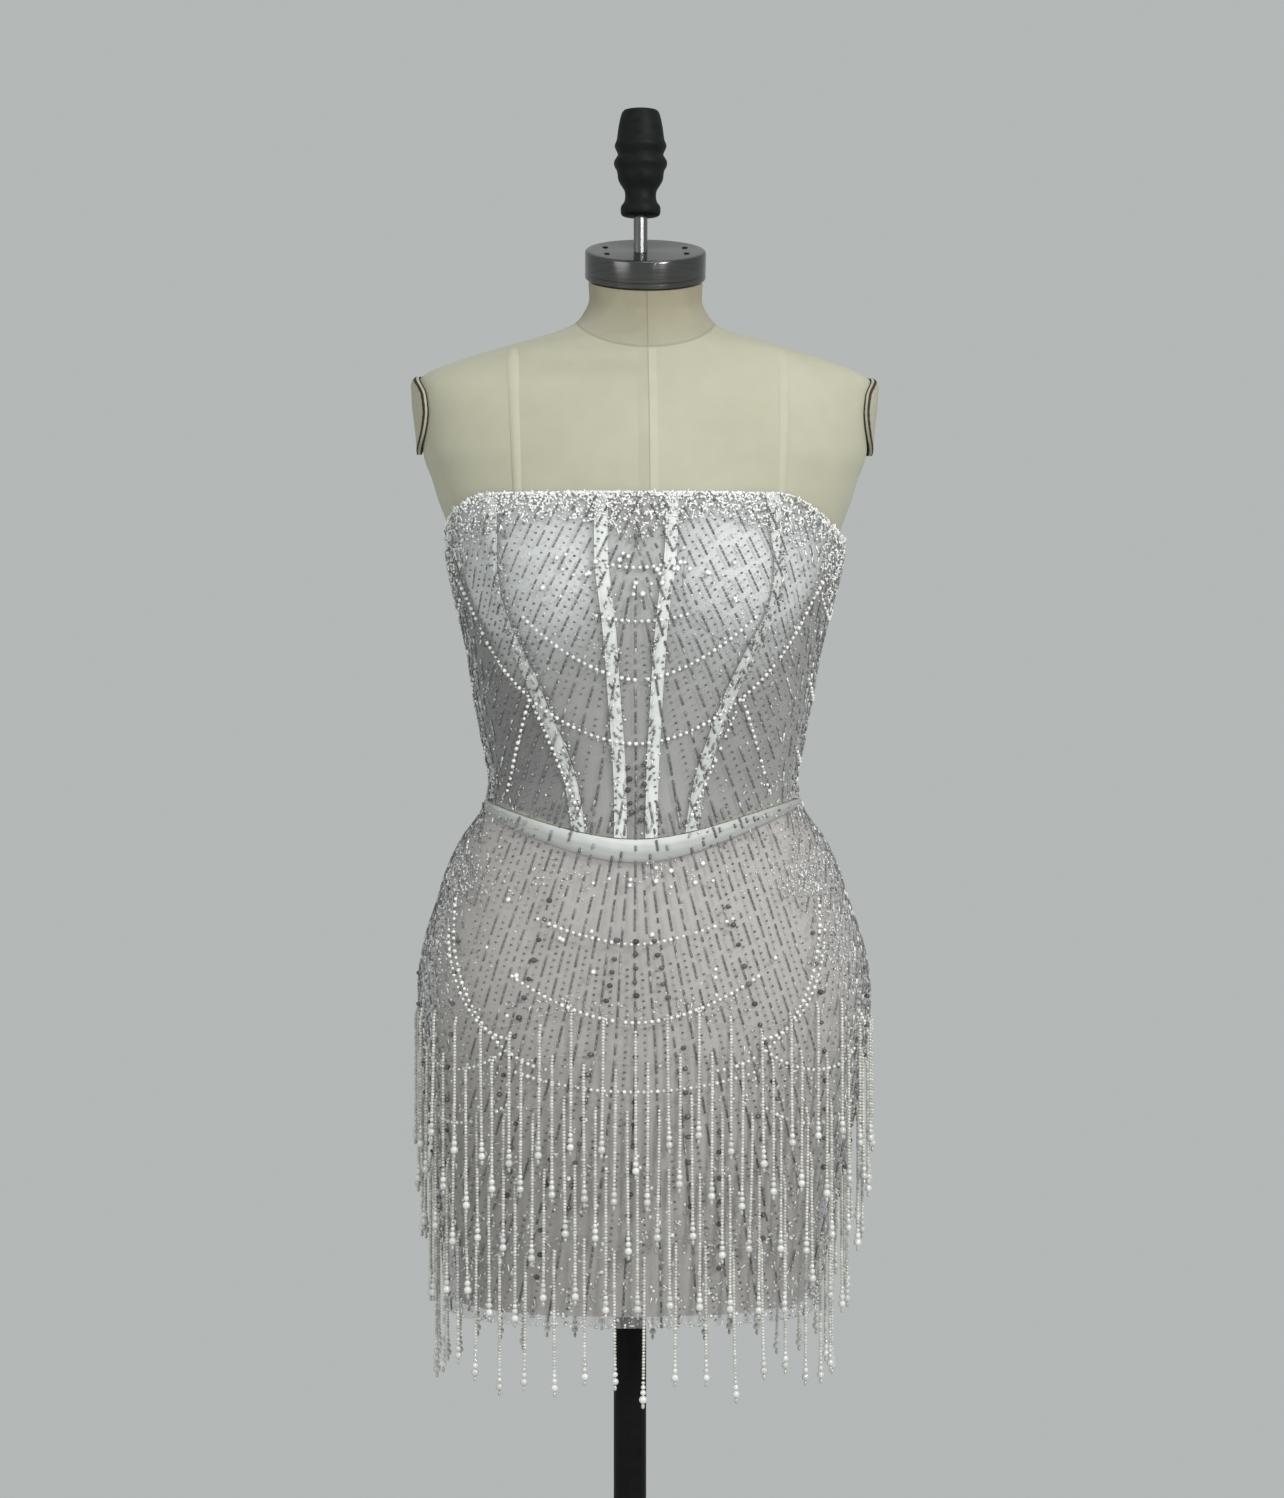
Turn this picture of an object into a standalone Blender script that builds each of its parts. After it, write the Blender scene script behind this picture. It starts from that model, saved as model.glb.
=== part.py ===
"""Strapless beaded mini dress with fringe, worn by a canvas dress form on a pole and a round base.

Metres, +Z up. The front faces -Y and +X is the wearer's left. The origin is the middle of the
base's underside. An angle of 0 is the centre front, and angles grow towards the wearer's left.
"""
import math

import bmesh
import bpy
import numpy as np
from mathutils import Matrix, Vector

# Cloth and seams
CLOTH = 0.0016
LINING_CLOTH = 0.0011
SEAM_GAP = 0.0003
WAIST_GAP = 0.0008
SEAT_GAP = 0.00035
DRESS_TURN = math.radians(-5.3)

# The figure's sections: half width, depth to the front and to the back, squareness, and the
# ease between the form and the cloth's outer face. The centre is 12 mm to the left of the pole
# above the hip and meets it at the hem, because the form leans on its pole.
SECTION_COLUMNS = ("z", "centre", "half_width", "front", "back", "power", "ease")
SECTION_ROWS = (
    (0.688, 0.0010, 0.1480, 0.1085, 0.1125, 2.20, 0.0140),
    (0.720, 0.0025, 0.1510, 0.1105, 0.1160, 2.20, 0.0140),
    (0.770, 0.0055, 0.1580, 0.1135, 0.1215, 2.20, 0.0140),
    (0.820, 0.0085, 0.1655, 0.1160, 0.1270, 2.20, 0.0135),
    (0.870, 0.0105, 0.1730, 0.1175, 0.1315, 2.20, 0.0130),
    (0.915, 0.0115, 0.1775, 0.1180, 0.1330, 2.20, 0.0120),
    (0.948, 0.0110, 0.1785, 0.1165, 0.1310, 2.20, 0.0120),
    (0.980, 0.0105, 0.1735, 0.1125, 0.1240, 2.20, 0.0120),
    (1.012, 0.0105, 0.1635, 0.1070, 0.1130, 2.20, 0.0120),
    (1.040, 0.0105, 0.1545, 0.1010, 0.1035, 2.20, 0.0105),
    (1.062, 0.0105, 0.1435, 0.0965, 0.0960, 2.20, 0.0078),
    (1.085, 0.0105, 0.1275, 0.0935, 0.0905, 2.20, 0.0055),
    (1.104, 0.0105, 0.1225, 0.0925, 0.0885, 2.20, 0.0051),
    (1.132, 0.0105, 0.1260, 0.0950, 0.0895, 2.20, 0.0045),
    (1.172, 0.0105, 0.1340, 0.1010, 0.0925, 2.25, 0.0050),
    (1.212, 0.0110, 0.1405, 0.1080, 0.0960, 2.30, 0.0052),
    (1.252, 0.0115, 0.1505, 0.1125, 0.0985, 2.35, 0.0052),
    (1.284, 0.0120, 0.1575, 0.1110, 0.0995, 2.40, 0.0052),
    (1.300, 0.0120, 0.1590, 0.1080, 0.1000, 2.45, 0.0052),
    (1.316, 0.0120, 0.1635, 0.1045, 0.1000, 2.50, 0.0044),
    (1.332, 0.0120, 0.1680, 0.1010, 0.1000, 2.50, 0.0028),
    (1.348, 0.0120, 0.1720, 0.0970, 0.0995, 2.55, 0.0020),
    (1.364, 0.0120, 0.1770, 0.0925, 0.0985, 2.60, 0.0010),
    (1.380, 0.0120, 0.1780, 0.0875, 0.0965, 2.60, 0.0000),
    (1.396, 0.0120, 0.1800, 0.0820, 0.0930, 2.60, 0.0000),
    (1.412, 0.0120, 0.1815, 0.0750, 0.0880, 2.60, 0.0000),
    (1.430, 0.0120, 0.1775, 0.0630, 0.0780, 2.50, 0.0000),
    (1.445, 0.0120, 0.1420, 0.0570, 0.0680, 2.30, 0.0000),
    (1.458, 0.0120, 0.1000, 0.0540, 0.0610, 2.20, 0.0000),
    (1.470, 0.0125, 0.0620, 0.0490, 0.0550, 2.10, 0.0000),
    (1.484, 0.0125, 0.0480, 0.0430, 0.0515, 2.00, 0.0000),
    (1.5074, 0.0125, 0.0455, 0.0390, 0.0505, 2.00, 0.0000),
)
SECTION = dict(zip(SECTION_COLUMNS, np.array(SECTION_ROWS).T))

# Bust of the general figure: a soft mound on each side
BUST_ANGLE = math.radians(36)
BUST_SPREAD = math.radians(17)
BUST_LEVEL = 1.250
BUST_HEIGHT = 0.042
BUST_DEPTH = 0.012

# Edges of the dress
TOP_FRONT = 1.332
TOP_SIDE_DROP = 0.031
TOP_BACK_DROP = 0.010
WAIST_SIDE = 1.094
WAIST_DIP = 0.0305
HEM_LEVEL = 0.688
LINING_HEM = 0.704
BODICE_ROWS = 14
SKIRT_ROWS = 11
SKIRT_FRONT_COLUMNS = 17
SKIRT_BACK_COLUMNS = 9
HIP_OVAL = 1.42

# Princess seam and centre bone: angle from the dress's centre front at each height
SEAM_COLUMNS = ("z", "princess_deg", "centre_bone_deg")
SEAM_ROWS = (
    (1.050, 23.5, 7.0),
    (1.075, 26.0, 7.2),
    (1.115, 31.0, 7.8),
    (1.166, 38.7, 9.0),
    (1.245, 48.2, 11.0),
    (1.277, 50.3, 13.0),
    (1.340, 52.0, 15.4),
)
SEAM = dict(zip(SEAM_COLUMNS, np.array(SEAM_ROWS).T))
BONE_HALF_WIDTH = 0.0048
BONE_THICKNESS = 0.0012

# Bust cups, between the form and the mesh
CUP_ANGLE = math.radians(43)
CUP_HALF_ANGLE = math.radians(25)
CUP_LEVEL = 1.262
CUP_HALF_HEIGHT = 0.048
CUP_OUTER = -0.0040
CUP_THICKNESS = 0.0020
CUP_ROOM = 0.0034

# Waist band: deepest at the centre front
BAND_LEAST = 0.0050
BAND_EXTRA = 0.0125
BAND_THICKNESS = 0.0012
BAND_CROWN = 0.0010

# Fringe: each tier hangs from its own tape; swag is the scallops' depth
TIER_COLUMNS = ("level", "swag", "phase", "length")
TIER_ROWS = (
    (0.932, 0.0140, 0.0, 0.107),
    (0.897, 0.0070, 0.4, 0.110),
    (0.861, 0.0090, 0.8, 0.111),
    (0.813, 0.0090, 0.2, 0.109),
    (0.754, 0.0070, 0.6, 0.109),
)
STRANDS = 30
SCALLOPS = 8
TAPE_HEIGHT = 0.0050
TAPE_THICKNESS = 0.0012
STRAND_HALF = 0.0011
STRAND_STANDOFF = 0.0043
STRAND_SHOULDER = 0.0070
PEARL_START = 0.0170
PEARL_WIDEST = 0.0042
PEARL_HALF = 0.0027
LENGTH_SWAY = 0.0050

# Zip at the centre back
ZIP_HALF_WIDTH = 0.0030
ZIP_THICKNESS = 0.0011
ZIP_ROWS_IN_SKIRT = 5
SLIDER_LEVEL = 1.270
SLIDER_HEIGHT = 0.011
SLIDER_WIDTH = 0.0080
SLIDER_DEPTH = 0.0022
EAR_THICKNESS = 0.0012
EAR_REACH = 0.0045
PIN_RADIUS = 0.0008
PIN_STANDOFF = 0.0049
PULL_EYE_RADIUS = 0.0020
PULL_WIDTH = 0.0034
PULL_THICKNESS = 0.0012
PULL_LENGTH = 0.024

# Form above and below the dress
TORSO_BOTTOM = 0.780
TORSO_COLUMNS = 32
HIP_LEVELS = (0.840, 0.885, 0.930, 0.975, 1.015, 1.042)
NECK_TILT = math.radians(19)
TILT_START = 1.430
CAP_TOP = 1.532
CAP_ASIDE = 0.0125
CAP_RADIUS = 0.0485
CAP_HEIGHT = 0.023
ROD_RADIUS = 0.0056
ROD_ASIDE = 0.0085
ROD_TOP = 1.585
PLATE_LEVEL = 1.399
PLATE_HALF_HEIGHT = 0.031
PLATE_HALF_ANGLE = math.radians(12)
PLATE_THICKNESS = 0.0040
PLATE_GAP = 0.0008

# Stand
BASE_RADIUS = 0.215
BASE_TOP = 0.026
POLE_RADIUS = 0.013
SOCKET_TOP = 0.7735
SLEEVE_BOTTOM = 0.715

# Knob, turned: radius at each height
KNOB_PROFILE = (
    (0.0132, 1.5594),
    (0.0156, 1.5640),
    (0.0156, 1.5668),
    (0.0116, 1.5746),
    (0.0132, 1.5802),
    (0.0180, 1.5925),
    (0.0212, 1.5990),
    (0.0212, 1.6030),
    (0.0180, 1.6082),
    (0.0208, 1.6150),
    (0.0184, 1.6186),
    (0.0116, 1.6422),
    (0.0095, 1.6442),
)


def start_clean():
    for thing in list(bpy.data.objects):
        bpy.data.objects.remove(thing, do_unlink=True)


def make_material(name, colour, roughness, metallic=0.0):
    made = bpy.data.materials.new(name)
    made.use_nodes = True
    shader = made.node_tree.nodes["Principled BSDF"]
    shader.inputs["Base Color"].default_value = (*colour, 1.0)
    shader.inputs["Roughness"].default_value = roughness
    shader.inputs["Metallic"].default_value = metallic
    return made


def make_materials():
    return {
        "mesh": make_material("beaded_mesh", (0.42, 0.41, 0.40), 0.55),
        "satin": make_material("white_satin", (0.75, 0.76, 0.75), 0.45),
        "lining": make_material("lining", (0.44, 0.40, 0.38), 0.60),
        "beads": make_material("glass_beads", (0.70, 0.70, 0.68), 0.20),
        "zip": make_material("zip_coil", (0.62, 0.62, 0.60), 0.50),
        "canvas": make_material("canvas", (0.50, 0.46, 0.34), 0.85),
        "plate": make_material("brown_board", (0.14, 0.08, 0.05), 0.70),
        "steel": make_material("brushed_steel", (0.42, 0.41, 0.39), 0.35, 1.0),
        "black": make_material("black_lacquer", (0.015, 0.015, 0.017), 0.40),
        "iron": make_material("black_iron", (0.02, 0.02, 0.02), 0.55),
    }


def add_object(name, verts, faces, material, sharp_degrees=40.0):
    """One named closed solid, its faces turned outwards."""
    mesh = bpy.data.meshes.new(name)
    mesh.from_pydata([tuple(map(float, v)) for v in verts], [], [tuple(map(int, f)) for f in faces])
    work = bmesh.new()
    work.from_mesh(mesh)
    bmesh.ops.recalc_face_normals(work, faces=work.faces)
    work.to_mesh(mesh)
    work.free()
    mesh.shade_smooth()
    mesh.set_sharp_from_angle(angle=math.radians(sharp_degrees))
    thing = bpy.data.objects.new(name, mesh)
    thing.data.materials.append(material)
    bpy.context.scene.collection.objects.link(thing)
    return thing


def between_rows(levels, values, z):
    """A table's column between its rows: a cubic that keeps the slope of the rows around it."""
    slopes = np.gradient(values, levels)
    low = np.clip(np.searchsorted(levels, z) - 1, 0, len(levels) - 2)
    step = levels[low + 1] - levels[low]
    s = np.clip((z - levels[low]) / step, 0.0, 1.0)
    start = (2 * s**3 - 3 * s**2 + 1) * values[low] + (s**3 - 2 * s**2 + s) * step * slopes[low]
    end = (3 * s**2 - 2 * s**3) * values[low + 1] + (s**3 - s**2) * step * slopes[low + 1]
    return start + end


def section(name, z):
    return between_rows(SECTION["z"], SECTION[name], z)


def ease_in(low, high, value):
    s = np.clip((value - low) / (high - low), 0.0, 1.0)
    return s * s * (3 - 2 * s)


def wrapped(angle):
    return (np.asarray(angle) + math.pi) % (2 * math.pi) - math.pi


def reach(angle, z):
    """Distance from the section's centre to the figure's surface, along an angle."""
    depth = np.where(np.cos(angle) > 0, section("front", z), section("back", z))
    power = section("power", z)
    across = (np.abs(np.sin(angle)) / section("half_width", z)) ** power
    ahead = (np.abs(np.cos(angle)) / depth) ** power
    off_bust = (np.abs(wrapped(angle)) - BUST_ANGLE) / BUST_SPREAD
    off_level = (z - BUST_LEVEL) / BUST_HEIGHT
    return (across + ahead) ** (-1 / power) + BUST_DEPTH * np.exp(-(off_bust**2) - off_level**2)


def skin(angle, z, out):
    """Points at an angle and height, a distance out from the figure's surface, level with it."""
    angle, z, out = np.broadcast_arrays(np.asarray(angle, float), z, out)
    nudge = 1e-4

    def ring(a):
        radius = reach(a, z)
        return np.stack([section("centre", z) + radius * np.sin(a), -radius * np.cos(a)], axis=-1)

    along = ring(angle + nudge) - ring(angle - nudge)
    normal = np.stack([along[..., 1], -along[..., 0]], axis=-1)
    normal /= np.linalg.norm(normal, axis=-1, keepdims=True)
    flat = ring(angle) + out[..., None] * normal
    return np.concatenate([flat, z[..., None]], axis=-1)


def dress(local, z, out):
    """The same, with the angle measured from the dress's own centre front."""
    return skin(np.asarray(local) + DRESS_TURN, z, out)


def top_edge(local):
    aside = np.abs(wrapped(local))
    side = ease_in(math.radians(52), math.radians(84), aside)
    back = ease_in(math.radians(90), math.radians(150), aside)
    return TOP_FRONT - TOP_SIDE_DROP * side - TOP_BACK_DROP * back


def waist_line(local):
    return WAIST_SIDE - WAIST_DIP * np.maximum(np.cos(local), 0.0) ** 2


def band_height(local):
    return BAND_LEAST + BAND_EXTRA * np.maximum(np.cos(local), 0.0) ** 1.5


def princess(z):
    return np.radians(between_rows(SEAM["z"], SEAM["princess_deg"], z))


def centre_bone(z):
    return np.radians(between_rows(SEAM["z"], SEAM["centre_bone_deg"], z))


def turn_by(length, local, z):
    """The angle that a length along the cloth takes up."""
    return length / reach(np.asarray(local) + DRESS_TURN, z)


def panel_grid(lines, bottom, top, shares):
    """Angles and heights of a panel: lines are its columns as functions of z, left to right."""
    angles = []
    levels = []
    for line in lines:
        z = np.linspace(1.08, 1.30, len(shares))
        for _ in range(4):
            local = line(z)
            z = bottom(local) + shares * (top(local) - bottom(local))
        angles.append(line(z))
        levels.append(z)
    return np.array(angles).T, np.array(levels).T


def shell(name, inner, outer, material, closed=False, sharp_degrees=40.0):
    """A closed solid between two grids of points. Rows run upwards, columns run with the angle."""
    rows, columns = outer.shape[:2]
    count = rows * columns
    index = np.arange(count).reshape(rows, columns)
    if closed:
        index = np.concatenate([index, index[:, :1]], axis=1)
    corners = [index[:-1, :-1], index[:-1, 1:], index[1:, 1:], index[1:, :-1]]
    front = np.stack(corners, axis=-1).reshape(-1, 4)
    back = front[:, ::-1] + count
    rims = [(index[0], True), (index[-1], False)]
    if not closed:
        rims += [(index[:, 0], False), (index[:, -1], True)]
    edges = []
    for line, reverse in rims:
        quads = np.stack([line[:-1], line[1:], line[1:] + count, line[:-1] + count], axis=-1)
        edges.append(quads[:, ::-1] if reverse else quads)
    faces = np.concatenate([front, back, *edges])
    verts = np.concatenate([outer.reshape(-1, 3), inner.reshape(-1, 3)])
    return add_object(name, verts, faces, material, sharp_degrees)


def on_dress(name, angles, levels, inner_out, outer_out, material, closed=False):
    inner = dress(angles, levels, inner_out)
    outer = dress(angles, levels, outer_out)
    return shell(name, inner, outer, material, closed)


def beside(line, length):
    """A column that runs a length along the cloth from another one."""
    return lambda z: line(z) + turn_by(length, line(z), z)


def spread(first, last, share):
    """A column that lies a share of the way from one line to another."""
    return lambda z: first(z) + share * (last(z) - first(z))


def mirrored(line):
    return lambda z: -line(z)


def fixed(degrees):
    return lambda z: np.full_like(z, math.radians(degrees))


def bodice_lines():
    """The columns of each bodice panel, so that bones and zip can use the same ones."""
    half_gap = SEAM_GAP * 0.6
    left_bone = [beside(centre_bone, -BONE_HALF_WIDTH), beside(centre_bone, BONE_HALF_WIDTH)]
    inner_edge = beside(princess, -BONE_HALF_WIDTH)
    outer_edge = beside(princess, BONE_HALF_WIDTH)
    half_front = [
        *left_bone,
        *[spread(left_bone[1], inner_edge, share) for share in (0.25, 0.5, 0.75)],
        inner_edge,
        beside(princess, -half_gap),
    ]
    centre_front = [mirrored(line) for line in reversed(half_front)] + [fixed(0)] + half_front
    side = beside(fixed(90), -half_gap)
    side_front = [beside(princess, half_gap), outer_edge]
    side_front += [spread(outer_edge, side, share) for share in (0.25, 0.5, 0.75)]
    side_front += [side]
    seam_at_side = beside(fixed(90), half_gap)
    zip_edge = beside(fixed(180), -ZIP_HALF_WIDTH)
    back = [seam_at_side]
    back += [spread(seam_at_side, zip_edge, share) for share in (0.17, 0.34, 0.51, 0.68, 0.84)]
    back += [zip_edge, beside(fixed(180), -half_gap)]
    return {"centre_front": centre_front, "side_front": side_front, "back": back}


def left_and_right(lines):
    """The lines of the wearer's left panel, and the same mirrored for the right one."""
    return {"left": lines, "right": [mirrored(line) for line in reversed(lines)]}


def build_bodice(materials):
    lines = bodice_lines()
    shares = np.linspace(0.0, 1.0, BODICE_ROWS)

    def bottom(local):
        return waist_line(local) + WAIST_GAP / 2

    def panel(name, columns):
        angles, levels = panel_grid(columns, bottom, top_edge, shares)
        on_dress(name, angles, levels, -CLOTH, 0.0, materials["mesh"])

    panel("bodice_centre_front", lines["centre_front"])
    for part in ("side_front", "back"):
        for side, columns in left_and_right(lines[part]).items():
            panel(f"bodice_{part}_{side}", columns)
    build_bones(materials, bottom, shares)
    build_cups(materials)


def build_bones(materials, bottom, shares):
    """Boning channels of satin tape, from the same rows and columns as the panels below them."""
    for kind, line, middle in (("centre", centre_bone, []), ("princess", princess, [princess])):
        columns = [beside(line, -BONE_HALF_WIDTH), *middle, beside(line, BONE_HALF_WIDTH)]
        for side, side_columns in left_and_right(columns).items():
            angles, levels = panel_grid(side_columns, bottom, top_edge, shares)
            name = f"bone_{kind}_{side}"
            on_dress(name, angles, levels, SEAT_GAP, SEAT_GAP + BONE_THICKNESS, materials["satin"])


def disc_grid(count):
    """A square grid pressed into a unit disc."""
    steps = np.linspace(-1, 1, count)
    u, v = np.meshgrid(steps, steps)
    return u * np.sqrt(1 - v**2 / 2), v * np.sqrt(1 - u**2 / 2)


def build_cups(materials):
    u, v = disc_grid(8)
    for side, sign in (("left", 1), ("right", -1)):
        angles = sign * CUP_ANGLE + CUP_HALF_ANGLE * u
        levels = CUP_LEVEL + CUP_HALF_HEIGHT * v
        inner = CUP_OUTER - CUP_THICKNESS
        on_dress(f"bust_cup_{side}", angles, levels, inner, CUP_OUTER, materials["satin"])


def skirt_lines():
    """Columns of the skirt, closest at the sides, where the hip is roundest."""
    half_gap = SEAM_GAP * 0.6
    side = beside(fixed(90), -half_gap)
    front_steps = evened(np.linspace(-90, 90, SKIRT_FRONT_COLUMNS)[1:-1])
    front = [mirrored(side)] + [fixed(degrees) for degrees in front_steps] + [side]
    back_steps = evened(np.linspace(90, 180, SKIRT_BACK_COLUMNS)[1:-1])
    back = [beside(fixed(90), half_gap)] + [fixed(degrees) for degrees in back_steps]
    back += [beside(fixed(180), -ZIP_HALF_WIDTH), beside(fixed(180), -half_gap)]
    return {"front": front, "back": back}


def evened(degrees):
    """Angles at the middle of an oval for even steps round it."""
    turn = np.radians(degrees)
    return np.degrees(np.arctan2(HIP_OVAL * np.sin(turn), np.cos(turn)))


def skirt_levels(lines):
    """Rows of the skirt from the hem up: the last three carry the waist band."""
    count = SKIRT_ROWS - 3
    angles = []
    levels = []
    for line in lines:
        local = line(np.linspace(HEM_LEVEL, WAIST_SIDE, 3))[1]
        seam = waist_line(local) - WAIST_GAP / 2
        band = seam - band_height(local)
        body = np.linspace(HEM_LEVEL, band, count + 1)
        z = np.concatenate([body, [seam - 0.5 * band_height(local), seam]])
        angles.append(line(z))
        levels.append(z)
    return np.array(angles).T, np.array(levels).T


def build_skirt(materials):
    lines = skirt_lines()
    panels = {"skirt_front": lines["front"]}
    for side, columns in left_and_right(lines["back"]).items():
        panels[f"skirt_back_{side}"] = columns
    for name, columns in panels.items():
        angles, levels = skirt_levels(columns)
        on_dress(name, angles, levels, -CLOTH, 0.0, materials["mesh"])
    build_band(materials, lines)
    build_lining(materials, lines)


def round_the_skirt(lines, keep_from_zip):
    """Columns all round from one edge of the zip to the other, on the skirt's own columns."""
    back = lines["back"][:keep_from_zip]
    right = [mirrored(line) for line in reversed(back)]
    return right[:-1] + lines["front"] + back[1:]


def build_band(materials, lines):
    columns = round_the_skirt(lines, -2)
    near_zip = beside(fixed(180), -ZIP_HALF_WIDTH - SEAT_GAP)
    columns = [mirrored(near_zip)] + columns + [near_zip]
    angles, levels = skirt_levels(columns)
    angles, levels = angles[-3:], levels[-3:]
    crown = np.array([0.0, BAND_CROWN, 0.0])[:, None]
    outer = SEAT_GAP + BAND_THICKNESS + crown
    on_dress("waist_band", angles, levels, SEAT_GAP, outer, materials["satin"])


def build_lining(materials, lines):
    """Front and back lining: it lies on the form and hangs below it, inside the beaded skirt."""
    clear_of_form = 0.0015
    back = lines["back"]
    right_back = [lambda z, line=line: 2 * math.pi - line(z) for line in reversed(back[:-1])]
    around = [*back[:-1], fixed(180), *right_back]
    for name, columns in (("lining_front", lines["front"]), ("lining_back", around)):
        angles = []
        levels = []
        for line in columns:
            local = line(np.array([1.0]))[0]
            top = waist_line(local) - 0.0010
            waist_rows = np.linspace(HIP_LEVELS[-1], top, 4)
            z = np.array([LINING_HEM, 0.742, 0.780, *HIP_LEVELS[:-1], *waist_rows])
            angles.append(line(z))
            levels.append(z)
        angles, levels = np.array(angles).T, np.array(levels).T
        inner = clear_of_form - section("ease", levels)
        on_dress(name, angles, levels, inner, inner + LINING_CLOTH, materials["lining"])


def build_zip(materials):
    """Closed zip down the centre back, with its slider at the top and a pull that swings."""
    edge = beside(fixed(180), -ZIP_HALF_WIDTH)
    skirt_angles, skirt_z = skirt_levels([edge, fixed(180)])
    shares = np.linspace(0.0, 1.0, BODICE_ROWS)
    bodice_angles, bodice_z = panel_grid(
        [edge, fixed(180)], lambda local: waist_line(local) + WAIST_GAP / 2, top_edge, shares)
    first = SKIRT_ROWS - ZIP_ROWS_IN_SKIRT
    half_angles = np.concatenate([skirt_angles[first:], bodice_angles])
    half_z = np.concatenate([skirt_z[first:], bodice_z])
    angles = np.concatenate([half_angles, 2 * math.pi - half_angles[:, :1]], axis=1)
    levels = np.concatenate([half_z, half_z[:, :1]], axis=1)
    on_dress("zip_chain", angles, levels, SEAT_GAP, SEAT_GAP + ZIP_THICKNESS, materials["zip"])
    build_slider(materials)


def zip_frame(height):
    """A matrix at the centre back: X along the cloth to the wearer's left, Y outwards, Z up."""
    angle = math.pi + DRESS_TURN
    deep = np.linspace(SLIDER_LEVEL - PULL_LENGTH, SLIDER_LEVEL + SLIDER_HEIGHT, 9)
    face = SEAT_GAP + ZIP_THICKNESS
    outward = Vector((math.sin(angle), -math.cos(angle), 0))
    middle = float(section("centre", np.array([SLIDER_LEVEL]))[0])
    flat = skin(np.full(9, angle), deep, face)[:, :2] - np.array([middle, 0])
    distance = (flat @ np.array(outward[:2])).max()
    across = Vector((outward.y, -outward.x, 0))
    matrix = Matrix.Identity(4)
    for row in range(3):
        matrix[row][0] = across[row]
        matrix[row][1] = outward[row]
    matrix.translation = outward * distance + Vector((middle, 0, height))
    return matrix


def box_mesh(low, high):
    x0, y0, z0 = low
    x1, y1, z1 = high
    verts = [(x, y, z) for z in (z0, z1) for x, y in ((x0, y0), (x1, y0), (x1, y1), (x0, y1))]
    faces = [(3, 2, 1, 0), (4, 5, 6, 7)] + [(i, (i + 1) % 4, (i + 1) % 4 + 4, i + 4) for i in range(4)]
    return verts, faces


def rod_along_x(radius, half_length, centre_y, sides):
    turns = np.arange(sides) * 2 * math.pi / sides
    verts = []
    for x in (-half_length, half_length):
        verts += [(x, centre_y + radius * math.cos(t), radius * math.sin(t)) for t in turns]
    faces = [tuple(range(sides)), tuple(range(2 * sides - 1, sides - 1, -1))]
    faces += [(i, (i + 1) % sides, (i + 1) % sides + sides, i + sides) for i in range(sides)]
    return verts, faces


def combine(thing, tool, operation):
    """Join a tool to a piece or cut it away; the tool itself is left out of the model."""
    tool.hide_render = True
    tool.display_type = "WIRE"
    change = thing.modifiers.new(tool.name, "BOOLEAN")
    change.operation = operation
    change.solver = "EXACT"
    change.object = tool


def build_slider(materials):
    steel = materials["steel"]
    clear = 0.0003
    eye_half = PULL_WIDTH / 2
    ear_inner = eye_half + clear
    frame = zip_frame(SLIDER_LEVEL)
    half = SLIDER_HEIGHT / 2
    body_top = clear + SLIDER_DEPTH
    body = box_mesh((-SLIDER_WIDTH / 2, clear, -half), (SLIDER_WIDTH / 2, body_top, half))
    slider = add_object("zip_slider", *body, steel)
    slider.matrix_world = frame
    ear_top = PIN_STANDOFF + PIN_RADIUS + 0.0006
    for side, sign in (("left", 1), ("right", -1)):
        x_pair = sorted((sign * ear_inner, sign * (ear_inner + EAR_THICKNESS)))
        low = (x_pair[0], body_top - 0.0006, -EAR_REACH / 2)
        ear = box_mesh(low, (x_pair[1], ear_top, EAR_REACH / 2))
        tool = add_object(f"ear_{side}", *ear, steel)
        tool.matrix_world = frame
        combine(slider, tool, "UNION")
    pin_mesh = rod_along_x(PIN_RADIUS, ear_inner + EAR_THICKNESS / 2, PIN_STANDOFF, 12)
    pin = add_object("pin", *pin_mesh, steel)
    pin.matrix_world = frame
    combine(slider, pin, "UNION")
    build_pull(steel, frame, eye_half, clear)


def build_pull(steel, frame, eye_half, clear):
    """The pull: an eye round the pin and a plate that hangs from it. Its origin is on the pin."""
    hinge = frame @ Matrix.Translation((0, PIN_STANDOFF, 0))
    pull = add_object("zip_pull", *rod_along_x(PULL_EYE_RADIUS, eye_half, 0.0, 16), steel)
    pull.matrix_world = hinge
    half_depth = PULL_THICKNESS / 2
    neck = PIN_RADIUS + clear + 0.0004
    outline = ((-eye_half, -neck), (-0.0030, -0.009), (-0.0030, -PULL_LENGTH + 0.003),
               (-0.0014, -PULL_LENGTH), (0.0014, -PULL_LENGTH), (0.0030, -PULL_LENGTH + 0.003),
               (0.0030, -0.009), (eye_half, -neck))
    count = len(outline)
    verts = [(x, y, z) for y in (-half_depth, half_depth) for x, z in outline]
    faces = [tuple(range(count)), tuple(range(2 * count - 1, count - 1, -1))]
    faces += [(i, (i + 1) % count, (i + 1) % count + count, i + count) for i in range(count)]
    plate = add_object("pull_plate", verts, faces, steel)
    plate.matrix_world = hinge
    combine(pull, plate, "UNION")
    hole = add_object("pull_hole", *rod_along_x(PIN_RADIUS + clear, 2 * eye_half, 0.0, 12), steel)
    hole.matrix_world = hinge
    combine(pull, hole, "DIFFERENCE")


def equal_steps(count, phase):
    """Angles that part the hip into equal lengths of cloth."""
    fine = np.linspace(0, 2 * math.pi, 721)
    ring = dress(fine, np.full_like(fine, 0.915), 0.0)[:, :2]
    lengths = np.concatenate([[0], np.cumsum(np.linalg.norm(np.diff(ring, axis=0), axis=1))])
    wanted = (np.arange(count) + phase) / count * lengths[-1]
    return np.interp(wanted, lengths, fine)


def tape_line(local, level, swag):
    return level - swag * np.cos(SCALLOPS * local / 2) ** 2


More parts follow.
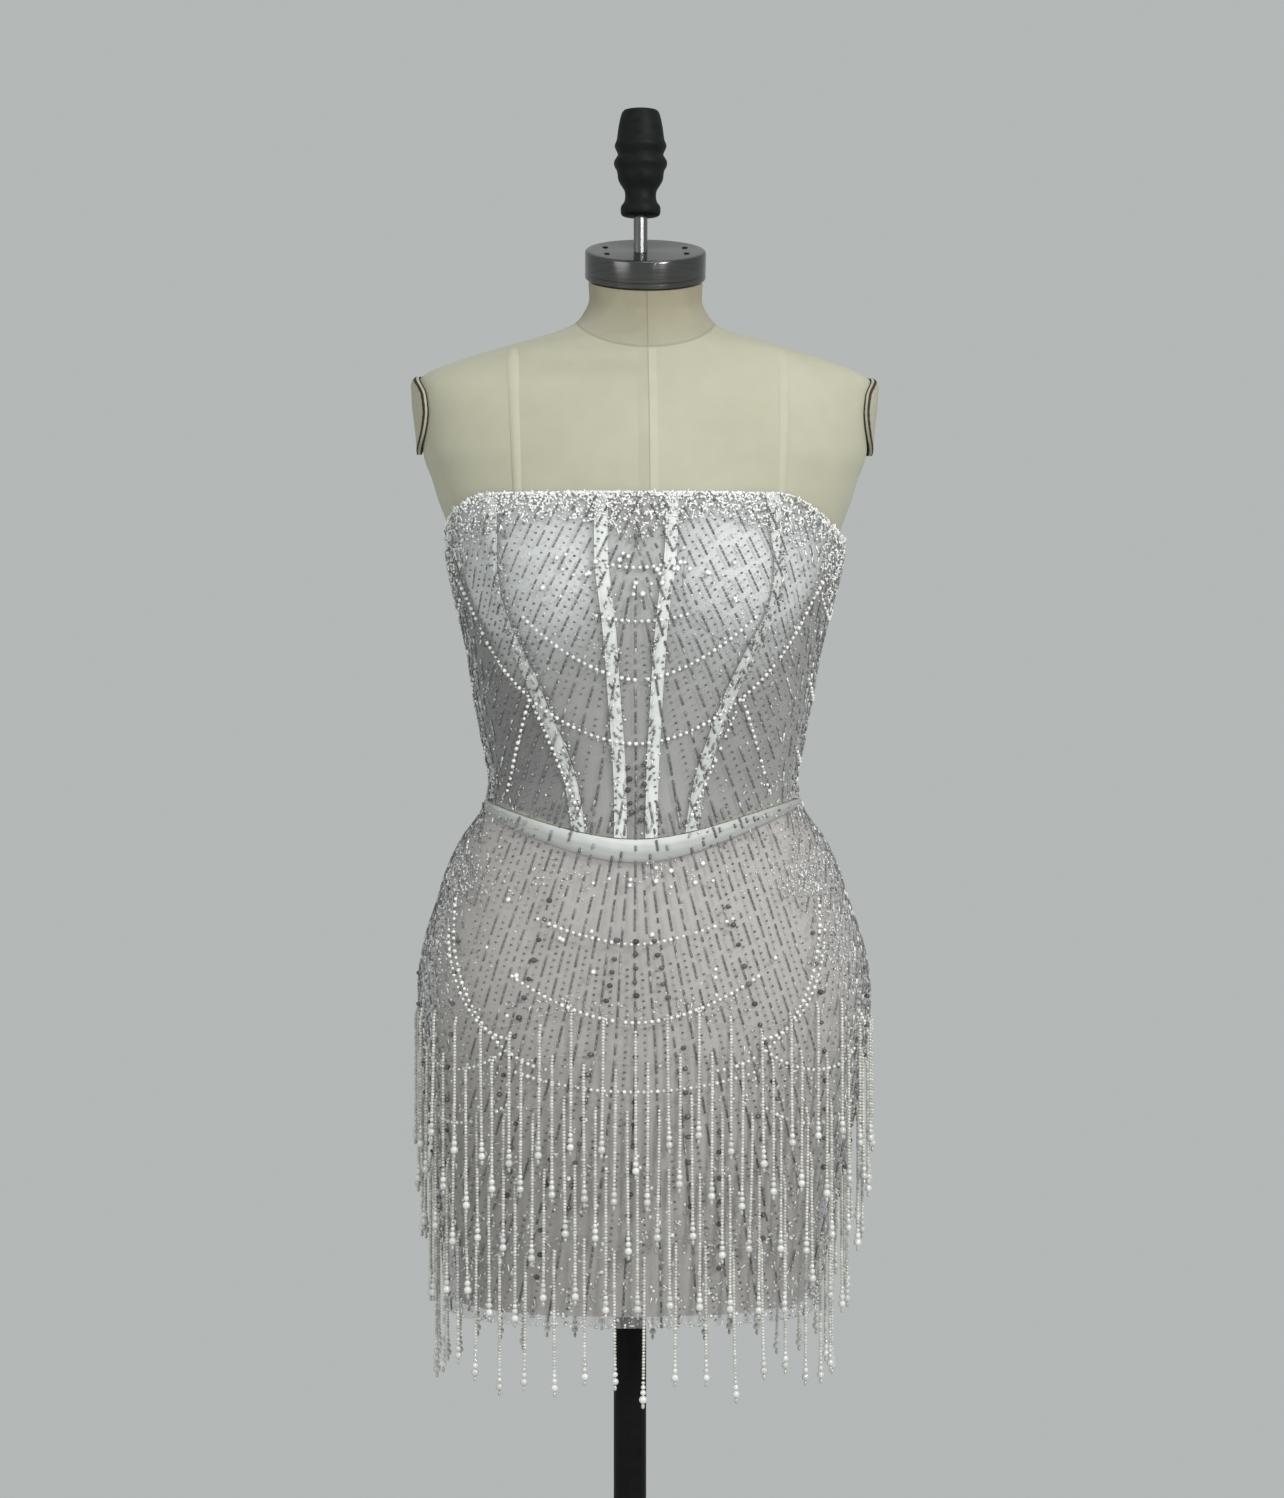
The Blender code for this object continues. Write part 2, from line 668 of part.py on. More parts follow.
def build_fringe(materials):
    for number, row in enumerate(TIER_ROWS, start=1):
        tier = dict(zip(TIER_COLUMNS, row))
        build_tier(f"fringe_tier_{number}", number, tier, materials["beads"])


def build_tier(name, number, tier, material):
    """A wedge-shaped tape round the skirt with four-sided strands grown from its lower face."""
    middle = equal_steps(STRANDS, tier["phase"])
    z_middle = tape_line(middle, tier["level"], tier["swag"])
    half_turn = turn_by(STRAND_HALF, middle, z_middle)
    angles = np.stack([middle - half_turn, middle + half_turn], axis=1).reshape(-1)
    z_low = tape_line(angles, tier["level"], tier["swag"])
    step = np.roll(middle, -1) - middle
    step = np.repeat(np.where(step < 0, step + 2 * math.pi, step), 2)
    sagitta = tape_sagitta(angles, z_low, step)
    gap = SEAT_GAP + sagitta
    low_in = dress(angles, z_low, gap)
    low_out = dress(angles, z_low, gap + TAPE_THICKNESS)
    high = dress(angles, z_low + TAPE_HEIGHT, gap + TAPE_THICKNESS / 2)
    count = len(angles)
    here = np.arange(count)
    there = (here + 1) % count
    faces = [(here[i], there[i], there[i] + 2 * count, here[i] + 2 * count) for i in range(count)]
    for i in range(count):
        faces.append((here[i] + 2 * count, there[i] + 2 * count, there[i] + count, here[i] + count))
    faces += [(here[i] + count, there[i] + count, there[i], here[i]) for i in range(1, count, 2)]
    verts = [*low_in, *low_out, *high]
    length = tier["length"] + LENGTH_SWAY * np.sin(2.4 * np.arange(STRANDS) + 1.7 * number)
    add_strands(verts, faces, middle, z_middle, length, count)
    add_object(name, verts, faces, material)


def tape_sagitta(angles, z, step):
    """How far the tape's straight stretches would cut into the round skirt."""
    start = dress(angles, z, 0.0)
    end = dress(angles + step, z, 0.0)
    halfway = dress(angles + step / 2, z, 0.0)
    depth = np.linalg.norm((halfway - (start + end) / 2)[:, :2], axis=1)
    return np.maximum(depth, np.roll(depth, 1))


def add_strands(verts, faces, middle, z_root, length, count):
    """Rings of four corners down each strand, then one point at its tip."""
    hang = dress(middle, z_root, STRAND_STANDOFF)[:, :2]
    base = dress(middle, z_root, 0.0)[:, :2]
    outward = (hang - base) / STRAND_STANDOFF
    across = np.stack([-outward[:, 1], outward[:, 0]], axis=1)
    for i in range(len(middle)):
        tip = z_root[i] - length[i]
        rings = ((z_root[i] - STRAND_SHOULDER, STRAND_HALF), (tip + PEARL_START, STRAND_HALF),
                 (tip + PEARL_WIDEST, PEARL_HALF))
        left, right = 2 * i, 2 * i + 1
        ring = [left, right, right + count, left + count]
        for z, half in rings:
            start = len(verts)
            for into, aside in ((-1, -1), (-1, 1), (1, 1), (1, -1)):
                flat = hang[i] + half * (into * outward[i] + aside * across[i])
                verts.append((*flat, z))
            below = [start, start + 1, start + 2, start + 3]
            faces.extend((ring[k], ring[(k + 1) % 4], below[(k + 1) % 4], below[k]) for k in range(4))
            ring = below
        verts.append((*hang[i], tip))
        last = len(verts) - 1
        faces.extend((ring[k], ring[(k + 1) % 4], last) for k in range(4))


def cup_room(angle, z):
    """How much further in the form lies behind each bust cup."""
    aside = (np.abs(wrapped(angle - DRESS_TURN)) - CUP_ANGLE) / CUP_HALF_ANGLE
    off_level = (z - CUP_LEVEL) / CUP_HALF_HEIGHT
    return CUP_ROOM * (1 - ease_in(1.05, 1.45, np.hypot(aside, off_level)))


def build_torso(materials):
    """The stuffed form: one smooth solid from its flat underside to the tilted top of the neck."""
    z = np.concatenate([
        [TORSO_BOTTOM, TORSO_BOTTOM + 0.004, TORSO_BOTTOM + 0.014],
        HIP_LEVELS,
        np.linspace(1.057, 1.13, 6),
        np.linspace(1.165, 1.33, 9),
        [1.352, 1.376, 1.400, 1.418, 1.430, 1.437, 1.445, 1.458, 1.470, 1.484],
        SECTION["z"][-1:],
    ])
    inset = section("ease", z)
    inset[0] += 0.010
    inset[1] += 0.003
    turn = np.arange(TORSO_COLUMNS) * 2 * math.pi / TORSO_COLUMNS
    grid_z, grid_turn = np.meshgrid(z, turn, indexing="ij")
    depth = np.where(np.cos(grid_turn) > 0, section("front", grid_z), section("back", grid_z))
    angle = np.arctan2(section("half_width", grid_z) * np.sin(grid_turn), depth * np.cos(grid_turn))
    points = skin(angle, grid_z, -inset[:, None] - cup_room(angle, grid_z))
    lean = np.tan(NECK_TILT) * ease_in(TILT_START, z[-1], z)[:, None]
    points[..., 2] += lean * points[..., 1]
    count = TORSO_COLUMNS
    faces = []
    for row in range(len(z) - 1):
        for i in range(count):
            j = (i + 1) % count
            faces.append((row * count + i, row * count + j, (row + 1) * count + j, (row + 1) * count + i))
    faces.append(tuple(reversed(range(count))))
    faces.append(tuple((len(z) - 1) * count + i for i in range(count)))
    add_object("form_torso", points.reshape(-1, 3), faces, materials["canvas"])


def build_arm_plates(materials):
    u, v = disc_grid(7)
    for side, centre in (("left", math.pi / 2), ("right", -math.pi / 2)):
        angles = centre + PLATE_HALF_ANGLE * u
        levels = PLATE_LEVEL + PLATE_HALF_HEIGHT * v
        inner = skin(angles, levels, PLATE_GAP)
        outer = skin(angles, levels, PLATE_GAP + PLATE_THICKNESS)
        shell(f"arm_plate_{side}", inner, outer, materials["plate"])


def turned(name, profile, segments, material, sharp_degrees=35.0):
    """A solid turned about Z from (radius, height) points. It is closed where they meet the axis."""
    turns = np.arange(segments) * 2 * math.pi / segments
    verts = []
    rings = []
    for radius, z in profile:
        if radius == 0:
            rings.append([len(verts)])
            verts.append((0.0, 0.0, z))
        else:
            rings.append(list(range(len(verts), len(verts) + segments)))
            verts += [(radius * math.cos(t), radius * math.sin(t), z) for t in turns]
    pairs = list(zip(rings[:-1], rings[1:]))
    if profile[0][0] != 0:
        pairs.append((rings[-1], rings[0]))
    faces = []
    for low, high in pairs:
        for i in range(segments):
            j = (i + 1) % segments
            corners = [low[i % len(low)], low[j % len(low)], high[j % len(high)], high[i % len(high)]]
            faces.append(list(dict.fromkeys(corners)))
    return add_object(name, verts, faces, material, sharp_degrees)


def build_neck_parts(materials):
    cap_profile = ((0, -CAP_HEIGHT), (CAP_RADIUS - 0.001, -CAP_HEIGHT), (CAP_RADIUS, -CAP_HEIGHT + 0.001),
                   (CAP_RADIUS, -0.002), (CAP_RADIUS - 0.002, 0), (0, 0))
    cap = turned("neck_cap", cap_profile, 32, materials["steel"])
    cap.rotation_euler.x = NECK_TILT
    cap.location = (CAP_ASIDE, 0, CAP_TOP)
    hole_profile = ((0, 1.49), (ROD_RADIUS + 0.0003, 1.49), (ROD_RADIUS + 0.0003, 1.55), (0, 1.55))
    hole = turned("cap_hole", hole_profile, 16, materials["steel"])
    hole.location.x = ROD_ASIDE
    combine(cap, hole, "DIFFERENCE")
    rod_bottom = SECTION["z"][-1] + math.tan(NECK_TILT) * ROD_RADIUS + 0.0004
    rod_profile = ((0, rod_bottom), (ROD_RADIUS, rod_bottom), (ROD_RADIUS, ROD_TOP), (0, ROD_TOP))
    turned("knob_rod", rod_profile, 16, materials["steel"]).location.x = ROD_ASIDE
    bore = ROD_RADIUS + 0.0003
    knob = [(0, ROD_TOP + 0.0003), (bore, ROD_TOP + 0.0003), (bore, KNOB_PROFILE[0][1]), *KNOB_PROFILE,
            (0, KNOB_PROFILE[-1][1])]
    turned("knob", knob, 16, materials["black"]).location.x = ROD_ASIDE


def build_stand(materials):
    iron = materials["iron"]
    base = ((0, 0), (BASE_RADIUS, 0), (BASE_RADIUS, 0.008), (BASE_RADIUS - 0.005, 0.013),
            (0.125, 0.019), (0.062, BASE_TOP), (0, BASE_TOP))
    turned("base_plate", base, 36, iron)
    seat = BASE_TOP + 0.0003
    bore = POLE_RADIUS + 0.0003
    hub = ((bore, seat), (0.052, seat), (0.052, seat + 0.007), (0.030, seat + 0.018),
           (0.022, seat + 0.060), (0.020, seat + 0.064), (bore, seat + 0.064))
    turned("base_hub", hub, 20, iron)
    pole_top = SOCKET_TOP - 0.0003
    pole = ((0, seat), (POLE_RADIUS, seat), (POLE_RADIUS, pole_top), (0, pole_top))
    turned("pole", pole, 24, materials["black"])
    plate_top = TORSO_BOTTOM - 0.0003
    flange = ((0, SOCKET_TOP), (bore, SOCKET_TOP), (bore, SLEEVE_BOTTOM), (0.0185, SLEEVE_BOTTOM),
              (0.0185, 0.764), (0.024, 0.7705), (0.055, 0.7725), (0.055, plate_top), (0, plate_top))
    turned("form_flange", flange, 20, iron)


def main():
    start_clean()
    materials = make_materials()
    build_stand(materials)
    build_torso(materials)
    build_arm_plates(materials)
    build_neck_parts(materials)
    build_bodice(materials)
    build_skirt(materials)
    build_zip(materials)
    build_fringe(materials)


main()
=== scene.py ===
import math
import bpy
import numpy as np
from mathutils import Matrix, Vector


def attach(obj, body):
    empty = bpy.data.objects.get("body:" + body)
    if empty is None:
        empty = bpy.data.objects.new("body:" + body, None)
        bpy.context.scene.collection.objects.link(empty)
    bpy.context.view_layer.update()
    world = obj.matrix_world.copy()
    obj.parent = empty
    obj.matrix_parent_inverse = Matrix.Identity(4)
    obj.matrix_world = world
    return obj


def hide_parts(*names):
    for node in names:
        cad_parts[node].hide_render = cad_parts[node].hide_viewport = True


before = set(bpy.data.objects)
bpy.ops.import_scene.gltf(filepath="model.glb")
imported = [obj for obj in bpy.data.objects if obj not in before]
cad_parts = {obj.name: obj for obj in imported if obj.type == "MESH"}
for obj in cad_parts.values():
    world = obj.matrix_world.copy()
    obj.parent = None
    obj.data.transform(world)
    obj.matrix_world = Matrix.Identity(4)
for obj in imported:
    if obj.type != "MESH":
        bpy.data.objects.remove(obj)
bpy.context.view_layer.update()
print("frame loaded:", len(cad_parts), "nodes")

# The figure's sections, as in the part: centre, half width, depth to front and back, squareness
# and the ease between the form and the cloth's outer face, at each height
sectionRows = np.array((
    (0.688, .0010, .1480, .1085, .1125, 2.20, .0140), (0.720, .0025, .1510, .1105, .1160, 2.20, .0140),
    (0.770, .0055, .1580, .1135, .1215, 2.20, .0140), (0.820, .0085, .1655, .1160, .1270, 2.20, .0135),
    (0.870, .0105, .1730, .1175, .1315, 2.20, .0130), (0.915, .0115, .1775, .1180, .1330, 2.20, .0120),
    (0.948, .0110, .1785, .1165, .1310, 2.20, .0120), (0.980, .0105, .1735, .1125, .1240, 2.20, .0120),
    (1.012, .0105, .1635, .1070, .1130, 2.20, .0120), (1.040, .0105, .1545, .1010, .1035, 2.20, .0105),
    (1.062, .0105, .1435, .0965, .0960, 2.20, .0078), (1.085, .0105, .1275, .0935, .0905, 2.20, .0055),
    (1.104, .0105, .1225, .0925, .0885, 2.20, .0051), (1.132, .0105, .1260, .0950, .0895, 2.20, .0045),
    (1.172, .0105, .1340, .1010, .0925, 2.25, .0050), (1.212, .0110, .1405, .1080, .0960, 2.30, .0052),
    (1.252, .0115, .1505, .1125, .0985, 2.35, .0052), (1.284, .0120, .1575, .1110, .0995, 2.40, .0052),
    (1.300, .0120, .1590, .1080, .1000, 2.45, .0052), (1.316, .0120, .1635, .1045, .1000, 2.50, .0044),
    (1.332, .0120, .1680, .1010, .1000, 2.50, .0028), (1.348, .0120, .1720, .0970, .0995, 2.55, .0020),
    (1.364, .0120, .1770, .0925, .0985, 2.60, .0010), (1.380, .0120, .1780, .0875, .0965, 2.60, 0),
    (1.396, .0120, .1800, .0820, .0930, 2.60, 0), (1.412, .0120, .1815, .0750, .0880, 2.60, 0),
    (1.430, .0120, .1775, .0630, .0780, 2.50, 0), (1.445, .0120, .1420, .0570, .0680, 2.30, 0),
    (1.458, .0120, .1000, .0540, .0610, 2.20, 0), (1.470, .0125, .0620, .0490, .0550, 2.10, 0),
    (1.484, .0125, .0480, .0430, .0515, 2.00, 0), (1.5074, .0125, .0455, .0390, .0505, 2.00, 0)))
section = dict(zip(("z", "centre", "halfWidth", "front", "back", "power", "ease"), sectionRows.T))
seamRows = np.array(((1.050, 23.5, 7.0), (1.075, 26.0, 7.2), (1.115, 31.0, 7.8), (1.166, 38.7, 9.0),
                     (1.245, 48.2, 11.0), (1.277, 50.3, 13.0), (1.340, 52.0, 15.4)))
bust = {"angle": math.radians(36), "spread": math.radians(17), "level": 1.250, "height": .042, "depth": .012}
cup = {"angle": math.radians(43), "halfAngle": math.radians(25), "level": 1.262, "halfHeight": .048,
       "room": .0034, "thick": .0018}
band = {"least": .0050, "extra": .0125, "power": 1.5, "proud": .0019, "under": .00035}
cut = {"topFront": 1.332, "topSideDrop": .031, "topBackDrop": .010, "waistSide": 1.094, "waistDip": .0305,
       "hem": .688, "liningHem": .704, "turn": math.radians(-5.3)}


def betweenRows(levels, values, z):
    # cubic between a table's rows that keeps the slope of the rows around it
    slopes = np.gradient(values, levels)
    low = np.clip(np.searchsorted(levels, z) - 1, 0, len(levels) - 2)
    step = levels[low + 1] - levels[low]
    s = np.clip((z - levels[low]) / step, 0.0, 1.0)
    start = (2 * s**3 - 3 * s**2 + 1) * values[low] + (s**3 - 2 * s**2 + s) * step * slopes[low]
    end = (3 * s**2 - 2 * s**3) * values[low + 1] + (s**3 - s**2) * step * slopes[low + 1]
    return start + end


def at(name, z):
    # one column of the section table at a height
    return betweenRows(section["z"], section[name], z)


def easeIn(low, high, value):
    # 0 to 1 from low to high, as 3s^2 - 2s^3
    s = np.clip((value - low) / (high - low), 0.0, 1.0)
    return s * s * (3 - 2 * s)


def wrapped(angle):
    # the same angle between -pi and pi
    return (np.asarray(angle) + math.pi) % (2 * math.pi) - math.pi


def reach(angle, z):
    # radius of a squared oval at an angle, plus a soft mound for each side of the bust
    depth = np.where(np.cos(angle) > 0, at("front", z), at("back", z))
    power = at("power", z)
    across = (np.abs(np.sin(angle)) / at("halfWidth", z)) ** power
    ahead = (np.abs(np.cos(angle)) / depth) ** power
    offBust = (np.abs(wrapped(angle)) - bust["angle"]) / bust["spread"]
    offLevel = (z - bust["level"]) / bust["height"]
    return (across + ahead) ** (-1 / power) + bust["depth"] * np.exp(-(offBust**2) - offLevel**2)


def ring(angle, z):
    # the oval's own point on the level
    radius = reach(angle, z)
    return np.stack([at("centre", z) + radius * np.sin(angle), -radius * np.cos(angle)], axis=-1)


def skin(angle, z, out):
    # the oval's point, moved out along its own level normal
    angle, z, out = np.broadcast_arrays(np.asarray(angle, float), z, out)
    along = ring(angle + 1e-4, z) - ring(angle - 1e-4, z)
    normal = np.stack([along[..., 1], -along[..., 0]], axis=-1)
    normal /= np.linalg.norm(normal, axis=-1, keepdims=True)
    return np.concatenate([ring(angle, z) + out[..., None] * normal, z[..., None]], axis=-1)


def dress(local, z, out):
    # the same for an angle of the dress, which sits slightly turned on the form
    return skin(np.asarray(local) + cut["turn"], z, out)


def topEdge(local):
    # level at the front, lower round the sides and a little lower again behind
    aside = np.abs(wrapped(local))
    side = easeIn(math.radians(52), math.radians(84), aside)
    back = easeIn(math.radians(90), math.radians(150), aside)
    return cut["topFront"] - cut["topSideDrop"] * side - cut["topBackDrop"] * back


def waistLine(local):
    # dips at the front with the square of the cosine
    return cut["waistSide"] - cut["waistDip"] * np.maximum(np.cos(local), 0.0) ** 2


def bandHeight(local):
    # deepest at the centre front, by a power of the cosine
    return band["least"] + band["extra"] * np.maximum(np.cos(local), 0.0) ** band["power"]


def princess(z):
    # angle of the seam between the centre front and the side front
    return np.radians(betweenRows(seamRows[:, 0], seamRows[:, 1], z))


def centreBone(z):
    # angle of the channel beside the centre front
    return np.radians(betweenRows(seamRows[:, 0], seamRows[:, 2], z))


def cupRoom(angle, z):
    # how far the form's skin is pressed back behind a cup: a flat oval with an eased rim
    aside = (np.abs(wrapped(angle - cut["turn"])) - cup["angle"]) / cup["halfAngle"]
    return cup["room"] * (1 - easeIn(1.05, 1.45, np.hypot(aside, (z - cup["level"]) / cup["halfHeight"])))


# A flat map of the cloth: how far round from the centre front a length along the cloth reaches
mapLevels = np.linspace(.62, 1.36, 149)
mapLengths = np.linspace(-.62, .62, 497)


def makeMap():
    # on each level the lengths round the oval are added up, and read back at even lengths
    angles = np.linspace(-1.35 * math.pi, 1.35 * math.pi, 1081)
    rows = []
    for z in mapLevels:
        flat = ring(angles + cut["turn"], np.full_like(angles, z))
        length = np.concatenate([[0], np.cumsum(np.linalg.norm(np.diff(flat, axis=0), axis=1))])
        rows.append(np.interp(mapLengths, length - length[540], angles))
    return np.array(rows)


angleMap = makeMap()


def angleAt(along, z):
    # reads the map between its rows and columns
    row = np.clip((z - mapLevels[0]) / (mapLevels[1] - mapLevels[0]), 0, len(mapLevels) - 1.001)
    column = np.clip((along - mapLengths[0]) / (mapLengths[1] - mapLengths[0]), 0, len(mapLengths) - 1.001)
    i, j = row.astype(int), column.astype(int)
    a, b = row - i, column - j
    near = angleMap[i, j] * (1 - b) + angleMap[i, j + 1] * b
    far = angleMap[i + 1, j] * (1 - b) + angleMap[i + 1, j + 1] * b
    return near * (1 - a) + far * a


def lengthAt(local, z):
    # the other way: length along the cloth from the centre front to an angle, at a height
    levels = np.broadcast_to(z, np.shape(local))
    fine = angleAt(mapLengths[None, :], levels.reshape(-1, 1))
    pick = (fine < local.reshape(-1, 1)).sum(axis=1).clip(1, len(mapLengths) - 1)
    index = np.arange(len(pick))
    low, high = fine[index, pick - 1], fine[index, pick]
    share = (local.reshape(-1) - low) / (high - low)
    step = mapLengths[1] - mapLengths[0]
    return (mapLengths[pick - 1] + share * step).reshape(np.shape(local))


# Meshes

def meshFrom(name, points, faces, uv=None, tint=None):
    # a mesh from whole arrays: points, equal-sided faces, a flat map and a tone for each point
    mesh = bpy.data.meshes.new(name)
    points = np.ascontiguousarray(points, np.float32)
    faces = np.ascontiguousarray(faces, np.int32)
    sides = faces.shape[1]
    mesh.vertices.add(len(points))
    mesh.vertices.foreach_set("co", points.ravel())
    mesh.loops.add(faces.size)
    mesh.loops.foreach_set("vertex_index", faces.ravel())
    mesh.polygons.add(len(faces))
    mesh.polygons.foreach_set("loop_start", np.arange(0, faces.size, sides, dtype=np.int32))
    if uv is not None:
        layer = mesh.uv_layers.new(name="cloth")
        layer.data.foreach_set("uv", np.ascontiguousarray(uv[faces.ravel()], np.float32).ravel())
    if tint is not None:
        mesh.attributes.new("tint", "FLOAT", "POINT").data.foreach_set("value", tint.astype(np.float32))
    mesh.update(calc_edges=True)
    mesh.validate()
    mesh.shade_smooth()
    return mesh


def addPiece(name, mesh, material, body, replaces=()):
    # links the piece, gives it its finish, and states its body and the nodes it stands for
    piece = bpy.data.objects.new(name, mesh)
    bpy.context.scene.collection.objects.link(piece)
    piece.data.materials.append(material)
    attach(piece, body)
    if replaces:
        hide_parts(*replaces)
    return piece


def gridFaces(rows, columns, around=False):
    # quads between neighbouring rows and columns, facing out where columns run left to right
    index = np.arange(rows * columns).reshape(rows, columns)
    if around:
        index = np.concatenate([index, index[:, :1]], axis=1)
    return np.stack([index[:-1, :-1], index[:-1, 1:], index[1:, 1:], index[1:, :-1]], axis=-1).reshape(-1, 4)


def clothPiece(name, outer, inner, material, replaces, uv, tint=None):
    # a thin shell: an outer grid of points, an inner one, and the rims that close them
    rows, columns = outer.shape[:2]
    count = rows * columns
    front = gridFaces(rows, columns)
    index = np.arange(count).reshape(rows, columns)
    rims = (index[0][::-1], index[-1], index[:, 0], index[:, -1][::-1])
    edges = [np.stack([r[:-1], r[1:], r[1:] + count, r[:-1] + count], axis=-1)[:, ::-1] for r in rims]
    faces = np.concatenate([front, front[:, ::-1] + count, *edges])
    points = np.concatenate([outer.reshape(-1, 3), inner.reshape(-1, 3)])
    both = np.concatenate([uv.reshape(-1, 2)] * 2)
    shade = None if tint is None else np.concatenate([tint.ravel()] * 2)
    mesh = meshFrom(name, points, faces, uv=both, tint=shade)
    mesh.set_sharp_from_angle(angle=math.radians(50))
    return addPiece(name, mesh, material, "form", replaces)


def endFans(count, columns):
    # triangles from the first and the last ring to the two points that follow the rings' own
    first, last = np.arange(columns), np.arange(count - columns, count)
    return np.concatenate([np.stack([np.full(columns, count), np.roll(first, -1), first], axis=-1),
                           np.stack([np.full(columns, count + 1), last, np.roll(last, -1)], axis=-1)])


def ringMesh(name, rings, low, high, uv=None, tint=None, sharp=35):
    # a stack of rings of points, from the low end to the high one, with a point closing each end
    rows, columns = rings.shape[:2]
    count = rows * columns
    ends = endFans(count, columns)
    points = np.concatenate([rings.reshape(-1, 3), [low, high]])
    mesh = bpy.data.meshes.new(name)
    mesh.from_pydata(points.tolist(), [], gridFaces(rows, columns, True).tolist() + ends.tolist())
    if uv is not None:
        loops = np.empty(len(mesh.loops), np.int32)
        mesh.loops.foreach_get("vertex_index", loops)
        flat = np.concatenate([uv.reshape(-1, 2), uv[0, :1], uv[-1, :1]])
        mesh.uv_layers.new(name="cloth").data.foreach_set("uv", flat[loops].astype(np.float32).ravel())
    if tint is not None:
        shade = np.concatenate([np.repeat(tint, columns), [tint[0], tint[-1]]]).astype(np.float32)
        mesh.attributes.new("tint", "FLOAT", "POINT").data.foreach_set("value", shade)
    mesh.shade_smooth()
    mesh.set_sharp_from_angle(angle=math.radians(sharp))
    return mesh


def turned(name, profile, segments, material, body, replaces=(), move=(0, 0, 0), tilt=0.0):
    # a profile of (radius, height) turned about Z, then tilted about X; its ends lie on the axis
    radius, z = np.array(profile, float).T
    turn = np.arange(segments) * 2 * math.pi / segments
    rings = np.stack([radius[1:-1, None] * np.cos(turn), radius[1:-1, None] * np.sin(turn),
                      np.broadcast_to(z[1:-1, None], (len(z) - 2, segments))], axis=-1)
    spin = np.array([[1, 0, 0], [0, math.cos(tilt), -math.sin(tilt)], [0, math.sin(tilt), math.cos(tilt)]])
    low, high = (np.array([0, 0, level]) @ spin.T + np.array(move) for level in (z[0], z[-1]))
    return addPiece(name, ringMesh(name, rings @ spin.T + np.array(move), low, high), material, body, replaces)


# Finishes

def addNode(tree, kind, values=None, **settings):
    # a shader node with its settings and its sockets' values
    made = tree.nodes.new(kind)
    for key, value in settings.items():
        setattr(made, key, value)
    for key, value in (values or {}).items():
        made.inputs[key].default_value = value
    return made


def newFinish(name, colour, roughness, **sockets):
    # a principled material; an underscore in a socket's name stands for a space
    material = bpy.data.materials.new(name)
    material.use_nodes = True
    shader = material.node_tree.nodes["Principled BSDF"]
    shader.inputs["Base Color"].default_value = (*colour, 1)
    shader.inputs["Roughness"].default_value = roughness
    for key, value in sockets.items():
        shader.inputs[key.replace("_", " ")].default_value = value
    return material, material.node_tree, shader


def coordinates(tree, kind):
    # the piece's flat map ("UV") or its place in metres ("Object")
    return addNode(tree, "ShaderNodeTexCoord").outputs[kind]


def tintOf(tree):
    # the tone that the mesh carries, from 0 to 1
    return addNode(tree, "ShaderNodeAttribute", attribute_name="tint").outputs["Fac"]


def noiseFrom(tree, source, scale, detail=4.0, roughness=.55, stretch=None):
    # noise with scale features a metre, drawn out where the stretch is small
    if stretch:
        mapping = addNode(tree, "ShaderNodeMapping", {"Scale": stretch})
        tree.links.new(source, mapping.inputs["Vector"])
        source = mapping.outputs["Vector"]
    noise = addNode(tree, "ShaderNodeTexNoise", {"Scale": scale, "Detail": detail, "Roughness": roughness})
    tree.links.new(source, noise.inputs["Vector"])
    return noise.outputs["Fac"]


def threads(tree, source, pitch, direction, distortion=0.0):
    # bands a pitch apart: the wave texture's own period is 0.314 units at scale 1
    wave = addNode(tree, "ShaderNodeTexWave", {"Scale": .31416 / pitch, "Distortion": distortion},
                   bands_direction=direction)
    tree.links.new(source, wave.inputs["Vector"])
    return wave.outputs["Fac"]


def combine(tree, operation, a, b):
    # one step of arithmetic on two sockets or numbers
    node = addNode(tree, "ShaderNodeMath", operation=operation)
    for socket, value in zip(node.inputs, (a, b)):
        if isinstance(value, (int, float)):
            socket.default_value = value
        else:
            tree.links.new(value, socket)
    return node.outputs[0]


def ramp(tree, source, stops):
    # a colour read between stops of (place, colour)
    node = addNode(tree, "ShaderNodeValToRGB")
    elements = node.color_ramp.elements
    while len(elements) < len(stops):
        elements.new(0.5)
    for element, (place, colour) in zip(elements, stops):
        element.position = place
        element.color = (*colour, 1)
    tree.links.new(source, node.inputs["Fac"])
    return node.outputs["Color"]


def crossing(tree, pitch, twist=0.0):
    # threads both ways over the piece's own flat map
    source = coordinates(tree, "UV")
    warp, weft = (threads(tree, source, pitch, direction, twist) for direction in "XY")
    return combine(tree, "MAXIMUM", warp, weft)


def blend(tree, a, b, share):
    # a times the share plus b times the rest
    return combine(tree, "ADD", combine(tree, "MULTIPLY", a, share), combine(tree, "MULTIPLY", b, 1 - share))


def bumpFrom(tree, shader, height, strength, distance):
    # tilts the normal by the slope of a height, as if it rose by the distance
    node = addNode(tree, "ShaderNodeBump", {"Strength": strength, "Distance": distance})
    tree.links.new(height, node.inputs["Height"])
    tree.links.new(node.outputs["Normal"], shader.inputs["Normal"])


def weaveFinish(name, low, high, roughness, pitch, bump, cloudScale, **sockets):
    # crossing threads at a real pitch, over a slow cloud of two close colours
    material, tree, shader = newFinish(name, low, roughness, **sockets)
    cloth = crossing(tree, pitch)
    shade = blend(tree, noiseFrom(tree, coordinates(tree, "UV"), cloudScale), cloth, .75)
    tree.links.new(ramp(tree, shade, ((.25, low), (.75, high))), shader.inputs["Base Color"])
    bumpFrom(tree, shader, cloth, bump, pitch * .5)
    return material


